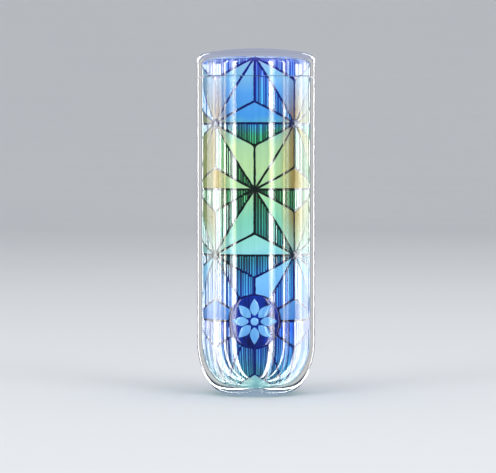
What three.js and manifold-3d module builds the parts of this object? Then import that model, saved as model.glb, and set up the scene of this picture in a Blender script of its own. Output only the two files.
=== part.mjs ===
// A glass mezuzah case: a round case of nested tubes with a domed foot, closed by a push-in cap,
// and the rolled parchment that it holds. Millimetres, +Z up, the origin at the middle of the foot,
// and the front, with the medallion, facing -Y.
import * as THREE from "three";
import { mergeVertices } from "three/addons/utils/BufferGeometryUtils.js";
import Module from "manifold-3d";

// ---- Driving dimensions: the glass tubes -------------------------------------------------------
const OUTER_RADIUS = 14;
const CASING_WALL = 1;
const SLEEVE_WALL = 0.9;
const LINER_WALL = 0.9;
const LAYER_GAP = 0.2;

// ---- Driving dimensions: the drawn-in foot -----------------------------------------------------
const FOOT_RADIUS = 6.5;
const BASE_ROUND_HEIGHT = 13;
const CASING_BASE = 1.6;
const SLEEVE_BASE = 0.9;
const LINER_BASE = 2.75;
const FLOOR_FILLET = 2.8;

// ---- Driving dimensions: the parchment and its band --------------------------------------------
const SCROLL_LENGTH = 60;
const SCROLL_RADIUS = 5;
const SCROLL_TURNS = 2.1;
const SCROLL_PITCH = 0.65;
const PARCHMENT_THICKNESS = 0.35;
const SCROLL_BACK_SPACE = 3.2;
const SCROLL_HEADROOM = 2.1;
const BAND_WIDTH = 5;
const BAND_THICKNESS = 0.3;
const BAND_CLEARANCE = 0.15;

// ---- Driving dimensions: the cap, its plug and seals -------------------------------------------
const CAP_HEIGHT = 6.85;
const CROWN_RISE = 1;
const CROWN_THICKNESS = 2.1;
const SHOULDER_WIDTH = 2.2;
const SHOULDER_HEIGHT = 2.2;
const CUP_CORNER_WIDTH = 1.6;
const CUP_CORNER_HEIGHT = 1.5;
const PLUG_DEPTH = 7;
const PLUG_CLEARANCE = 0.25;
const PLUG_CHAMFER = 0.8;
const SEAL_SECTION_RADIUS = 0.6;
const SEAL_CLEARANCE = 0.1;
const GROOVE_CLEARANCE = 0.2;
const SEAL_SPACING = 2.6;

// ---- Driving dimensions: the medallion and the fits --------------------------------------------
const MEDALLION_RADIUS = 6.2;
const MEDALLION_HEIGHT = 18;
const MEDALLION_THICKNESS = 0.45;
const POCKET_CLEARANCE = 0.15;
const SEAT_GAP = 0.3;
const RIM_BEVEL = 0.25;

// ---- Facets ------------------------------------------------------------------------------------
const SIDES = 48;
const CURVE_STEPS = 6;
const SPIRAL_STEPS_PER_TURN = 26;
const SEAL_SIDES = 8;
const MEDALLION_SIDES = 32;

// ---- Sizes that follow -------------------------------------------------------------------------
const CASING_BORE = OUTER_RADIUS - CASING_WALL;
const SLEEVE_RADIUS = CASING_BORE - LAYER_GAP;
const SLEEVE_BORE = SLEEVE_RADIUS - SLEEVE_WALL;
const LINER_RADIUS = SLEEVE_BORE - LAYER_GAP;
const BORE_RADIUS = LINER_RADIUS - LINER_WALL;
const SLEEVE_BOTTOM = CASING_BASE + LAYER_GAP;
const LINER_BOTTOM = SLEEVE_BOTTOM + SLEEVE_BASE + LAYER_GAP;
const FLOOR_HEIGHT = LINER_BOTTOM + LINER_BASE;
const SCROLL_BOTTOM = FLOOR_HEIGHT + SEAT_GAP;
const PLUG_BOTTOM = SCROLL_BOTTOM + SCROLL_LENGTH + SCROLL_HEADROOM;
const SEAM_HEIGHT = PLUG_BOTTOM + PLUG_DEPTH;
const RIM_HEIGHT = SEAM_HEIGHT - SEAT_GAP / 2;
const CAP_BOTTOM = SEAT_GAP / 2;
const SCROLL_OFFSET = BORE_RADIUS - SCROLL_RADIUS - SCROLL_BACK_SPACE;

const wasm = await Module();
wasm.setup();

// ---- Outlines and solids -----------------------------------------------------------------------

// Points of a quarter ellipse from `from` to `to`, leaving `from` upright or level. Both ends are kept.
function quarterEllipse(from, to, leavesUpright) {
  const points = [];
  for (let i = 0; i <= CURVE_STEPS; i += 1) {
    const angle = (i / CURVE_STEPS) * (Math.PI / 2);
    const early = 1 - Math.cos(angle);
    const late = Math.sin(angle);
    const along = leavesUpright ? [early, late] : [late, early];
    points.push([
      from[0] + (to[0] - from[0]) * along[0],
      from[1] + (to[1] - from[1]) * along[1],
    ]);
  }
  return points;
}

// A solid of revolution about Z from [radius, height] points, listed from the axis or closed on itself.
function turned(outline) {
  const points = outline.map(([radius, height]) => new THREE.Vector2(radius, height));
  return new THREE.LatheGeometry(points, SIDES).rotateX(Math.PI / 2);
}

// A closed ring turned from an outline that doesn't reach the axis.
function turnedRing(outline) {
  return turned([...outline, outline[0]]);
}

// A three.js geometry as a manifold solid, on its positions alone.
function solidOf(geometry) {
  const bare = geometry.index ? geometry.toNonIndexed() : geometry.clone();
  bare.deleteAttribute("normal");
  bare.deleteAttribute("uv");
  const merged = mergeVertices(bare, 1e-4);
  return new wasm.Manifold(
    new wasm.Mesh({
      numProp: 3,
      vertProperties: new Float32Array(merged.attributes.position.array),
      triVerts: new Uint32Array(merged.index.array),
    }),
  );
}

// A manifold solid as a three.js geometry.
function geometryOf(solid) {
  const mesh = solid.getMesh();
  const geometry = new THREE.BufferGeometry();
  geometry.setAttribute("position", new THREE.BufferAttribute(mesh.vertProperties, 3));
  geometry.setIndex(new THREE.BufferAttribute(mesh.triVerts, 1));
  geometry.computeVertexNormals();
  return geometry;
}

// The drawn-in end of one tube: from the axis at `base`, out to its own foot, and up to the straight.
function footCurve(radius, base) {
  const inset = OUTER_RADIUS - radius;
  const foot = [FOOT_RADIUS - inset / 2, base];
  return [[0, base], ...quarterEllipse(foot, [radius, BASE_ROUND_HEIGHT], false)];
}

// A tube closed at its foot, from its outer and inner foot curves, with its rim's edges bevelled.
function closedTube(outer, inner, rimHeight) {
  const outerRadius = outer.at(-1)[0];
  const innerRadius = inner.at(-1)[0];
  return turned([
    ...outer,
    [outerRadius, rimHeight - RIM_BEVEL],
    [outerRadius - RIM_BEVEL, rimHeight],
    [innerRadius + RIM_BEVEL, rimHeight],
    [innerRadius, rimHeight - RIM_BEVEL],
    ...inner.toReversed(),
  ]);
}

// ---- The case ----------------------------------------------------------------------------------

function casing() {
  return closedTube(footCurve(OUTER_RADIUS, 0), footCurve(CASING_BORE, CASING_BASE), RIM_HEIGHT);
}

// A round bar along Y that reaches from inside the tubes out past the front.
function frontBar(radius) {
  const bar = new THREE.CylinderGeometry(radius, radius, OUTER_RADIUS, MEDALLION_SIDES);
  return solidOf(bar.translate(0, -OUTER_RADIUS, MEDALLION_HEIGHT));
}

// A square-rimmed wall that follows the tubes from foot to straight and rises past the medallion.
function frontWall(outer, inner) {
  const top = MEDALLION_HEIGHT + 2 * MEDALLION_RADIUS;
  return solidOf(turned([...outer, [outer.at(-1)[0], top], [inner.at(-1)[0], top], ...inner.toReversed()]));
}

// The patterned tube, with a shallow round pocket in its front for the medallion.
function sleeve() {
  const outer = footCurve(SLEEVE_RADIUS, SLEEVE_BOTTOM);
  const inner = footCurve(SLEEVE_BORE, SLEEVE_BOTTOM + SLEEVE_BASE);
  const depth = MEDALLION_THICKNESS + POCKET_CLEARANCE;
  const pocketFloor = footCurve(SLEEVE_RADIUS - depth, SLEEVE_BOTTOM + depth);
  const pocket = frontWall(footCurve(OUTER_RADIUS, 0), pocketFloor).intersect(
    frontBar(MEDALLION_RADIUS + POCKET_CLEARANCE),
  );
  return geometryOf(solidOf(closedTube(outer, inner, RIM_HEIGHT)).subtract(pocket));
}

function medallion() {
  const face = footCurve(SLEEVE_RADIUS, SLEEVE_BOTTOM);
  const back = footCurve(SLEEVE_RADIUS - MEDALLION_THICKNESS, SLEEVE_BOTTOM + MEDALLION_THICKNESS);
  return geometryOf(frontWall(face, back).intersect(frontBar(MEDALLION_RADIUS)));
}

// The innermost tube, whose floor is thick and flat so that the parchment stands upright.
function liner() {
  const floor = [BORE_RADIUS - FLOOR_FILLET, FLOOR_HEIGHT];
  const bore = [BORE_RADIUS, BASE_ROUND_HEIGHT];
  const inner = [[0, FLOOR_HEIGHT], ...quarterEllipse(floor, bore, false)];
  return closedTube(footCurve(LINER_RADIUS, LINER_BOTTOM), inner, RIM_HEIGHT);
}

// ---- The cap, its height counted from the seam -------------------------------------------------

// The low crown from its edge at `edge` in to the axis: it rises by CROWN_RISE less the radius squared.
function crown([edgeRadius, edgeHeight]) {
  const points = [];
  for (let i = 1; i <= CURVE_STEPS; i += 1) {
    const share = 1 - i / CURVE_STEPS;
    points.push([edgeRadius * share, edgeHeight + CROWN_RISE * (1 - share * share)]);
  }
  return points;
}

// The clear dome: straight side, round shoulder and a low crown over a round-cornered recess.
function capCasing() {
  const shoulderTop = CAP_HEIGHT - CROWN_RISE;
  const shoulder = quarterEllipse(
    [OUTER_RADIUS, shoulderTop - SHOULDER_HEIGHT],
    [OUTER_RADIUS - SHOULDER_WIDTH, shoulderTop],
    true,
  );
  return turned([
    ...capRecess(CASING_BORE, CAP_HEIGHT - CROWN_THICKNESS),
    [CASING_BORE + RIM_BEVEL, CAP_BOTTOM],
    [OUTER_RADIUS - RIM_BEVEL, CAP_BOTTOM],
    [OUTER_RADIUS, CAP_BOTTOM + RIM_BEVEL],
    ...shoulder,
    ...crown(shoulder.at(-1)),
  ]);
}

// The recess of a cup that opens downwards, from the axis out and down to its rim.
function capRecess(radius, ceiling) {
  const corner = [radius - CUP_CORNER_WIDTH, ceiling];
  return [
    [0, ceiling],
    ...quarterEllipse(corner, [radius, ceiling - CUP_CORNER_HEIGHT], false),
    [radius, CAP_BOTTOM + RIM_BEVEL],
  ];
}

// The patterned cup that lies under the dome and carries the sleeve's pattern on to the top.
function capCup() {
  const top = CAP_HEIGHT - CROWN_THICKNESS - LAYER_GAP;
  const outside = capRecess(SLEEVE_RADIUS, top).toReversed();
  return turned([
    ...capRecess(SLEEVE_BORE, top - SLEEVE_WALL),
    [SLEEVE_BORE + RIM_BEVEL, CAP_BOTTOM],
    [SLEEVE_RADIUS - RIM_BEVEL, CAP_BOTTOM],
    ...outside,
  ]);
}

// The radius of a seal's middle line, and the heights of the seals below the seam, the upper first.
const SEAL_RADIUS = BORE_RADIUS - SEAL_CLEARANCE - SEAL_SECTION_RADIUS;
const SEAL_HEIGHTS = [-PLUG_DEPTH / 2 + SEAL_SPACING / 2, -PLUG_DEPTH / 2 - SEAL_SPACING / 2];

// The stopper: a disc bonded in the cup, and a plug below it with a groove for each seal.
function plug() {
  const discRadius = SLEEVE_BORE - LAYER_GAP;
  const discTop = CAP_HEIGHT - CROWN_THICKNESS - LAYER_GAP - SLEEVE_WALL - LAYER_GAP;
  const plugRadius = BORE_RADIUS - PLUG_CLEARANCE;
  const grooveRadius = SEAL_RADIUS - SEAL_SECTION_RADIUS - GROOVE_CLEARANCE;
  const grooveHalf = SEAL_SECTION_RADIUS + GROOVE_CLEARANCE;
  const grooves = SEAL_HEIGHTS.toReversed().flatMap((height) => [
    [plugRadius, height - grooveHalf],
    [grooveRadius, height - grooveHalf],
    [grooveRadius, height + grooveHalf],
    [plugRadius, height + grooveHalf],
  ]);
  return turned([
    [0, -PLUG_DEPTH],
    [plugRadius - PLUG_CHAMFER, -PLUG_DEPTH],
    [plugRadius, -PLUG_DEPTH + PLUG_CHAMFER / 2],
    ...grooves,
    [plugRadius, CAP_BOTTOM],
    [discRadius, CAP_BOTTOM],
    [discRadius, discTop - CUP_CORNER_HEIGHT],
    [discRadius - CUP_CORNER_WIDTH, discTop],
    [0, discTop],
  ]);
}

function seal() {
  const section = [];
  for (let i = 0; i < SEAL_SIDES; i += 1) {
    const angle = ((i + 0.5) / SEAL_SIDES) * 2 * Math.PI;
    section.push([
      SEAL_RADIUS + SEAL_SECTION_RADIUS * Math.cos(angle),
      SEAL_SECTION_RADIUS * Math.sin(angle),
    ]);
  }
  return turnedRing(section);
}

// ---- The parchment, standing on its own base at its own axis -----------------------------------

// A spiral sheet: its outer face winds in by one pitch a turn, and its inner face comes back out.
function scroll() {
  const steps = Math.round(SCROLL_TURNS * SPIRAL_STEPS_PER_TURN);
  const outerFace = [];
  const innerFace = [];
  for (let i = 0; i <= steps; i += 1) {
    const turn = (i / steps) * SCROLL_TURNS;
    const radius = SCROLL_RADIUS - SCROLL_PITCH * turn;
    const direction = new THREE.Vector2(Math.cos(turn * 2 * Math.PI), Math.sin(turn * 2 * Math.PI));
    outerFace.push(direction.clone().multiplyScalar(radius));
    innerFace.push(direction.clone().multiplyScalar(radius - PARCHMENT_THICKNESS));
  }
  const section = new THREE.Shape([...outerFace, ...innerFace.reverse()]);
  return new THREE.ExtrudeGeometry(section, { depth: SCROLL_LENGTH, bevelEnabled: false });
}

function band() {
  const inner = SCROLL_RADIUS + BAND_CLEARANCE;
  const outer = inner + BAND_THICKNESS;
  return turnedRing([
    [inner, -BAND_WIDTH / 2],
    [outer, -BAND_WIDTH / 2],
    [outer, BAND_WIDTH / 2],
    [inner, BAND_WIDTH / 2],
  ]);
}

// ---- Finishes ----------------------------------------------------------------------------------
const finish = (color, roughness, metalness = 0, opacity = 1) =>
  new THREE.MeshStandardMaterial({
    color,
    roughness,
    metalness,
    opacity,
    transparent: opacity < 1,
  });
const clearGlass = finish(0xe8f4f8, 0.04, 0, 0.25);
const patternedGlass = finish(0x63b4c8, 0.18, 0.15);
const darkGlass = finish(0x0a1418, 0.1);
const plugGlass = finish(0xbfd9e2, 0.05, 0, 0.5);
const blueGlass = finish(0x16309a, 0.12);
const sealRubber = finish(0x2b2f33, 0.55);
const parchment = finish(0xe9dcc0, 0.85);
const bandLeather = finish(0x7a3524, 0.6);

function part(name, geometry, material, height = 0) {
  const mesh = new THREE.Mesh(geometry, material);
  mesh.name = name;
  mesh.position.z = height;
  return mesh;
}

// ---- Assembly ----------------------------------------------------------------------------------
const caseGroup = new THREE.Group();
caseGroup.add(
  part("outer_casing", casing(), clearGlass),
  part("pattern_sleeve", sleeve(), patternedGlass),
  part("rosette_medallion", medallion(), blueGlass),
  part("bore_liner", liner(), darkGlass),
);

const capGroup = new THREE.Group();
capGroup.position.z = SEAM_HEIGHT;
capGroup.add(
  part("cap_casing", capCasing(), clearGlass),
  part("cap_pattern_cup", capCup(), patternedGlass),
  part("cap_plug", plug(), plugGlass),
  part("upper_seal_ring", seal(), sealRubber, SEAL_HEIGHTS[0]),
  part("lower_seal_ring", seal(), sealRubber, SEAL_HEIGHTS[1]),
);

const scrollGroup = new THREE.Group();
scrollGroup.position.set(0, SCROLL_OFFSET, SCROLL_BOTTOM);
scrollGroup.add(
  part("parchment_scroll", scroll(), parchment),
  part("scroll_band", band(), bandLeather, SCROLL_LENGTH / 2),
);

const mezuzahCase = new THREE.Group();
mezuzahCase.add(caseGroup, capGroup, scrollGroup);

export default mezuzahCase;
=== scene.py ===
"""The looks of a glass mezuzah case, built round its solids.

Lengths are metres and +Z is up. The foot stands on z = 0 and the front, with the medallion, faces -Y.

The pattern is laid out on the tube as on a sheet of paper. A place on it is (around, along): around is
the distance round the axis at the tube's full radius, from the front towards +X, and along is the
distance up the tube's outline, which equals the height wherever the wall is straight.
"""

from __future__ import annotations

import logging
import math
from collections.abc import Iterator, Sequence
from dataclasses import dataclass, field
from enum import Enum

import bmesh
import bpy
import numpy as np
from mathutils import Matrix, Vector

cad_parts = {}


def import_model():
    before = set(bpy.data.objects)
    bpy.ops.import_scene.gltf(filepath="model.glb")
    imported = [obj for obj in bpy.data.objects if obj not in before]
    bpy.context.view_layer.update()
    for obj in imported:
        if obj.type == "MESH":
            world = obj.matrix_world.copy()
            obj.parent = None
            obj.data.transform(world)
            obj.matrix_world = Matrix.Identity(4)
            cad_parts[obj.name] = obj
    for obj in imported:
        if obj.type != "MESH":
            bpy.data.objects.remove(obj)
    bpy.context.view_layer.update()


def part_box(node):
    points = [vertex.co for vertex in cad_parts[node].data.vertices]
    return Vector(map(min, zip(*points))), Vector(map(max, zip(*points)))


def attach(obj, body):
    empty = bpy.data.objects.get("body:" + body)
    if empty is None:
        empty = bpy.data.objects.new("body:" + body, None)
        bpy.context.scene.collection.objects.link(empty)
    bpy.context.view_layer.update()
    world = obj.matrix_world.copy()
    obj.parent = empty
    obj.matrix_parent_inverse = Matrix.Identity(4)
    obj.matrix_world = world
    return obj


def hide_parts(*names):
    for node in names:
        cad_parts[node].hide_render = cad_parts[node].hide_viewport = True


LOG = logging.getLogger("mezuzah_case")
MM = 0.001
FULL = 255  # the brightest part of a colour on screen
TURN = 2 * math.pi

# Points nearer each other than this, in metres, are one point of a mesh, and one point of an outline.
WELD = 2e-7
SAME_POINT = 1e-9
# A line of the flat pattern whose direction has a part below this runs square to that direction.
SQUARE = 1e-6

Array = np.ndarray
Socket = bpy.types.NodeSocket
Colour = tuple[float, float, float]


# ---- Outlines: rows of (radius, height) --------------------------


def quarter_ellipse(start: Sequence[float], end: Sequence[float], upright: bool, steps: int = 24) -> Array:
    """A quarter ellipse between two points, both kept.

    With a going from 0 to a quarter turn, the coordinate that changes early goes by sin a and the one
    that changes late by 1 - cos a.

    Args:
        start: Where it begins, as (radius, height).
        end: Where it ends.
        upright: True if it leaves the start upright, and so changes its height early.
        steps: How many chords it has.

    Returns:
        The points as rows.
    """
    angle = np.linspace(0, TURN / 4, steps + 1)
    early, late = np.sin(angle), 1 - np.cos(angle)
    share = np.stack([late, early] if upright else [early, late], axis=1)
    return np.array(start) + (np.array(end) - np.array(start)) * share


def rounded(points: Sequence[Sequence[float]], closed: bool, passes: int = 3) -> Array:
    """Rounds an outline's corners by cutting each off at a quarter of its two edges, a few times over.

    Args:
        points: The corners.
        closed: True if the last point joins the first. If not, both ends stay.
        passes: How often the corners are cut.

    Returns:
        The rounded outline's points as rows.
    """
    line = np.array(points, float)
    for _ in range(passes):
        after = np.roll(line, -1, axis=0) if closed else line[1:]
        before = line if closed else line[:-1]
        cut = np.stack([0.75 * before + 0.25 * after, 0.25 * before + 0.75 * after], axis=1)
        cut = cut.reshape(-1, 2)
        line = cut if closed else np.concatenate([line[:1], cut[1:-1], line[-1:]])
    return line


class Outline:
    """A wall's outline in the (radius, height) plane, read by the length along it."""

    def __init__(self, points: Array, at: Sequence[float], along: float) -> None:
        """Measures the outline.

        Args:
            points: Its (radius, height) points, in the order in which along grows.
            at: One of its points, whose length is known.
            along: The length at that point.
        """
        steps = np.linalg.norm(np.diff(points, axis=0), axis=1)
        self.points = points[np.concatenate([[True], steps > SAME_POINT])]
        steps = np.linalg.norm(np.diff(self.points, axis=0), axis=1)
        lengths = np.concatenate([[0], np.cumsum(steps)])
        nearest = np.argmin(np.linalg.norm(self.points - np.array(at), axis=1))
        self.along = lengths - lengths[nearest] + along
        tangent = np.gradient(self.points, self.along, axis=0)
        tangent /= np.linalg.norm(tangent, axis=1, keepdims=True)
        self.outward = np.stack([tangent[:, 1], -tangent[:, 0]], axis=1)

    @property
    def low(self) -> float:
        """The length at the outline's start."""
        return float(self.along[0])

    @property
    def high(self) -> float:
        """The length at the outline's end."""
        return float(self.along[-1])

    def place(self, around: Array, along: Array, depth: Array | float, radius: float) -> Array:
        """Lays points of the flat pattern on the wall.

        The point goes to the outline's (r, z) at its length, less depth times the outward direction,
        and is turned about the axis by around / radius: x = r sin a, y = -r cos a.

        Args:
            around: Distances round the axis.
            along: Distances up the outline.
            depth: How far below the wall's surface each point lies.
            radius: The radius at which distances round the axis are counted.

        Returns:
            The points, with x, y, z along the last axis.
        """
        line = [np.interp(along, self.along, column) for column in (*self.points.T, *self.outward.T)]
        reach = line[0] - depth * line[2]
        angle = around / radius
        place = [reach * np.sin(angle), -reach * np.cos(angle), line[1] - depth * line[3]]
        return np.stack(place, axis=-1)


# ---- Meshes ------------------------------------------------------


def grid_faces(rows: int, columns: int, wrap_rows: bool = False, wrap_columns: bool = False) -> Array:
    """The four-cornered faces of a grid of points that is numbered row by row.

    Args:
        rows: Rows of points.
        columns: Points in a row.
        wrap_rows: True if the last row joins the first.
        wrap_columns: True if each row's last point joins its first.

    Returns:
        Four point numbers for each face.
    """
    row = np.arange(rows if wrap_rows else rows - 1)[:, None]
    column = np.arange(columns if wrap_columns else columns - 1)[None, :]
    next_row, next_column = (row + 1) % rows, (column + 1) % columns
    corners = [
        row * columns + column,
        row * columns + next_column,
        next_row * columns + next_column,
        next_row * columns + column,
    ]
    return np.stack(corners, axis=-1).reshape(-1, 4)


def rim_faces(rows: int, columns: int, shift: int) -> Array:
    """The faces that join the rims of two grids of the same size.

    Args:
        rows: Rows of points in each grid.
        columns: Points in a row.
        shift: How far the second grid's numbers lie past the first's.

    Returns:
        Four point numbers for each face.
    """
    numbers = np.arange(rows * columns).reshape(rows, columns)
    rim = np.concatenate([numbers[0], numbers[1:, -1], numbers[-1, -2::-1], numbers[-2:0:-1, 0]])
    ahead = np.roll(rim, -1)
    return np.stack([rim, ahead, ahead + shift, rim + shift], axis=1)


@dataclass
class Surface:
    """Points and four-cornered faces, gathered until they become one piece.

    Attributes:
        points: The points of each patch.
        faces: The faces of each patch.
        tones: The shade of each point, from 0 to 1.
        alongs: How far up its wall's outline each point lies.
        count: How many points there are so far.
    """

    points: list[Array] = field(default_factory=list)
    faces: list[Array] = field(default_factory=list)
    tones: list[Array] = field(default_factory=list)
    alongs: list[Array] = field(default_factory=list)
    count: int = 0

    def add(self, points: Array, faces: Array, tone: float | Array = 0.5, along: float | Array = 0.0) -> None:
        """Adds a patch.

        Args:
            points: Its points, with x, y, z along the last axis.
            faces: Four of its own point numbers for each face.
            tone: The shade of the patch from 0 to 1, or one for each point.
            along: How far up its wall's outline each point lies, if it lies on one.
        """
        flat = points.reshape(-1, 3)
        self.points.append(flat)
        self.faces.append(faces + self.count)
        self.tones.append(np.broadcast_to(np.asarray(tone, float).reshape(-1), (len(flat),)))
        self.alongs.append(np.broadcast_to(np.asarray(along, float).reshape(-1), (len(flat),)))
        self.count += len(flat)

    def add_slab(
        self, face: Array, back: Array, tone: float | Array = 0.5, along: float | Array = 0.0
    ) -> None:
        """Adds a closed slab between two grids of points of the same size.

        Args:
            face: The outer grid.
            back: The inner grid.
            tone: The slab's shade, or one for each point, the outer grid's first.
            along: How far up its wall's outline each point lies, if it lies on one.
        """
        rows, columns = face.shape[:2]
        size = rows * columns
        cells = grid_faces(rows, columns)
        edges = rim_faces(rows, columns, size)
        both = np.concatenate([face.reshape(-1, 3), back.reshape(-1, 3)])
        self.add(both, np.concatenate([cells, cells[:, ::-1] + size, edges[:, ::-1]]), tone, along)

    def piece(
        self, name: str, material: bpy.types.Material, crease: float = 32, wall: Outline | None = None
    ) -> bpy.types.Object:
        """Makes the piece: doubles merged, faces outwards, smooth but for its creases.

        Args:
            name: The piece's name.
            material: Its finish.
            crease: The least angle, in degrees, at which an edge stays sharp.
            wall: The outline of the wall that it is let into, whose polish it shares, or None.

        Returns:
            The new object, which sits at the origin.
        """
        points = np.concatenate(self.points).astype(np.float32)
        faces = np.concatenate(self.faces).astype(np.int32)
        mesh = bpy.data.meshes.new(name)
        mesh.vertices.add(len(points))
        mesh.vertices.foreach_set("co", points.ravel())
        mesh.loops.add(faces.size)
        mesh.loops.foreach_set("vertex_index", faces.ravel())
        mesh.polygons.add(len(faces))
        mesh.polygons.foreach_set("loop_start", np.arange(0, faces.size, 4, dtype=np.int32))
        mesh.update(calc_edges=True)
        shade = mesh.attributes.new("tone", "FLOAT", "POINT")
        shade.data.foreach_set("value", np.concatenate(self.tones).astype(np.float32))
        level = mesh.attributes.new("along", "FLOAT", "POINT")
        level.data.foreach_set("value", np.concatenate(self.alongs).astype(np.float32))
        body = bmesh.new()
        body.from_mesh(mesh)
        bmesh.ops.remove_doubles(body, verts=body.verts, dist=WELD)
        bmesh.ops.dissolve_degenerate(body, edges=body.edges, dist=WELD)
        bmesh.ops.recalc_face_normals(body, faces=body.faces)
        body.to_mesh(mesh)
        body.free()
        mesh.polygons.foreach_set("use_smooth", np.ones(len(mesh.polygons), bool))
        if wall is None:
            mesh.set_sharp_from_angle(angle=math.radians(crease))
        else:
            mesh.normals_split_custom_set_from_vertices(self._polish(mesh, wall))
        mesh.attributes.remove(mesh.attributes["along"])
        mesh.materials.append(material)
        made = bpy.data.objects.new(name, mesh)
        bpy.context.scene.collection.objects.link(made)
        return made

    @staticmethod
    def _polish(mesh: bpy.types.Mesh, wall: Outline) -> Array:
        """The wall's outward direction at each of a mesh's points, so that both shine as one surface.

        It is read from the wall's outline at the point's along, and turned to the point's own angle.

        Args:
            mesh: The mesh, with its along.
            wall: The wall's outline.

        Returns:
            The directions as rows.
        """
        count = len(mesh.vertices)
        place = np.empty(3 * count, np.float32)
        mesh.vertices.foreach_get("co", place)
        level = np.empty(count, np.float32)
        mesh.attributes["along"].data.foreach_get("value", level)
        place = place.reshape(-1, 3)
        angle = np.arctan2(place[:, 0], -place[:, 1])
        out, up = (np.interp(level, wall.along, column) for column in wall.outward.T)
        return np.stack([out * np.sin(angle), -out * np.cos(angle), up], axis=1)


def braced(outline: Array, long: float = 1.5 * MM, margin: float = 0.1 * MM) -> Array:
    """Adds a point near each end of an outline's long stretches, which keeps the rounding beside them there.

    Args:
        outline: The (radius, height) points as rows.
        long: The least length of a stretch that gets them.
        margin: How far from the stretch's ends they lie.

    Returns:
        The outline with the new points.
    """
    step = np.diff(outline, axis=0)
    length = np.linalg.norm(step, axis=1)
    chosen = np.flatnonzero(length > long)
    reach = step[chosen] * (margin / length[chosen])[:, None]
    pairs = np.stack([outline[chosen] + reach, outline[chosen + 1] - reach], axis=1)
    return np.insert(outline, np.repeat(chosen + 1, 2), pairs.reshape(-1, 2), axis=0)


def turned(outline: Array, sides: int = 160, closed: bool = True) -> Surface:
    """A surface turned about the axis.

    Point (i, j) is (r_i sin a_j, -r_i cos a_j, z_i), with a_j the j-th of the even turns. A closed one
    whose outline doesn't start on the axis joins its last ring to its first.

    Args:
        outline: Its (radius, height) points as rows.
        sides: Points round the axis.
        closed: False for an open sheet.

    Returns:
        The surface.
    """
    outline = braced(outline)
    angle = np.arange(sides) * TURN / sides
    radius, height = outline[:, :1], outline[:, 1:]
    points = np.stack([radius * np.sin(angle), -radius * np.cos(angle), height + 0 * angle], axis=-1)
    ring = closed and bool(outline[0, 0] > 0)
    surface = Surface()
    surface.add(points, grid_faces(len(outline), sides, wrap_rows=ring, wrap_columns=True))
    return surface


# ---- Finishes ----------------------------------------------------


def paint(red: int, green: int, blue: int) -> Colour:
    """A colour on screen, from 0 to 255, as the light that it stands for.

    Args:
        red: The red part.
        green: The green part.
        blue: The blue part.

    Returns:
        The linear colour.
    """
    return tuple(((part / FULL + 0.055) / 1.055) ** 2.4 for part in (red, green, blue))


class Finish:
    """A node material under construction, with short calls for the nodes that the finishes share."""

    def __init__(self, name: str) -> None:
        """Starts an empty material.

        Args:
            name: The material's name.
        """
        self.material = bpy.data.materials.new(name)
        self.material.use_nodes = True
        self.tree = self.material.node_tree
        self.tree.nodes.clear()
        self.output = self.tree.nodes.new("ShaderNodeOutputMaterial")
        self.place = self.tree.nodes.new("ShaderNodeTexCoord").outputs["Object"]

    def node(
        self, kind: str, inputs: dict[str | int, object] | None = None, **settings: object
    ) -> bpy.types.Node:
        """Adds a node.

        Args:
            kind: The node's type without its ShaderNode prefix.
            inputs: A value or a socket for each named input.
            settings: The node's own settings.

        Returns:
            The node.
        """
        made = self.tree.nodes.new("ShaderNode" + kind)
        for key, value in settings.items():
            setattr(made, key, value)
        for key, value in (inputs or {}).items():
            if isinstance(value, bpy.types.NodeSocket):
                self.tree.links.new(value, made.inputs[key])
            else:
                made.inputs[key].default_value = value
        return made

    def math(self, operation: str, *values: float | Socket, clamp: bool = False) -> Socket:
        """Adds a sum of two or three numbers and returns its result."""
        inputs = dict(enumerate(values))
        return self.node("Math", inputs, operation=operation, use_clamp=clamp).outputs[0]

    def height(self) -> Socket:
        """The height in the piece's own coordinates."""
        return self.node("SeparateXYZ", {0: self.place}).outputs["Z"]

    def noise(self, scale: Sequence[float], detail: float = 2, rough: float = 0.5) -> Socket:
        """Cloudy noise from 0 to 1.

        Args:
            scale: How fast it changes along X, Y and Z, in changes to the metre.
            detail: How many finer layers it has.
            rough: How strong those are.

        Returns:
            The noise.
        """
        mapped = self.node("Mapping", {"Vector": self.place, "Scale": tuple(scale)})
        inputs = {"Vector": mapped.outputs[0], "Scale": 1.0, "Detail": detail, "Roughness": rough}
        return self.node("TexNoise", inputs).outputs[0]

    def between(self, value: Socket, low: float, high: float, to_low: float, to_high: float) -> Socket:
        """Maps a number from one range to another, and holds it inside."""
        inputs = {0: value, 1: low, 2: high, 3: to_low, 4: to_high}
        return self.node("MapRange", inputs).outputs[0]

    def ramp(self, factor: Socket, stops: Sequence[tuple[float, Colour]]) -> Socket:
        """A colour that changes with a number.

        Args:
            factor: The number, from 0 to 1.
            stops: The number and the colour at each stop, in rising order.

        Returns:
            The colour.
        """
        made = self.node("ValToRGB", {0: factor})
        elements = made.color_ramp.elements
        while len(elements) < len(stops):
            elements.new(1.0)
        for element, (position, colour) in zip(elements, stops):
            element.position = position
            element.color = (*colour, 1)
        return made.outputs[0]

    def mixed(
        self, factor: float | Socket, first: Colour | Socket, second: Colour | Socket, blend: str = "MIX"
    ) -> Socket:
        """Two colours mixed.

        Args:
            factor: How much of the second shows.
            first: The colour at 0.
            second: The colour at 1.
            blend: How they mix.

        Returns:
            The colour.
        """
        colours = [c if isinstance(c, bpy.types.NodeSocket) else (*c, 1) for c in (first, second)]
        inputs = {0: factor, 6: colours[0], 7: colours[1]}
        return self.node("Mix", inputs, data_type="RGBA", blend_type=blend).outputs[2]

    def bump(self, height: Socket, strength: float, distance: float) -> Socket:
        """A bumped normal from a height that goes from 0 to 1 over distance."""
        inputs = {"Height": height, "Strength": strength, "Distance": distance}
        return self.node("Bump", inputs).outputs[0]

    def done(self, shader: Socket) -> bpy.types.Material:
        """Joins the last shader to the output and returns the material."""
        self.tree.links.new(shader, self.output.inputs[0])
        return self.material


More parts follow.
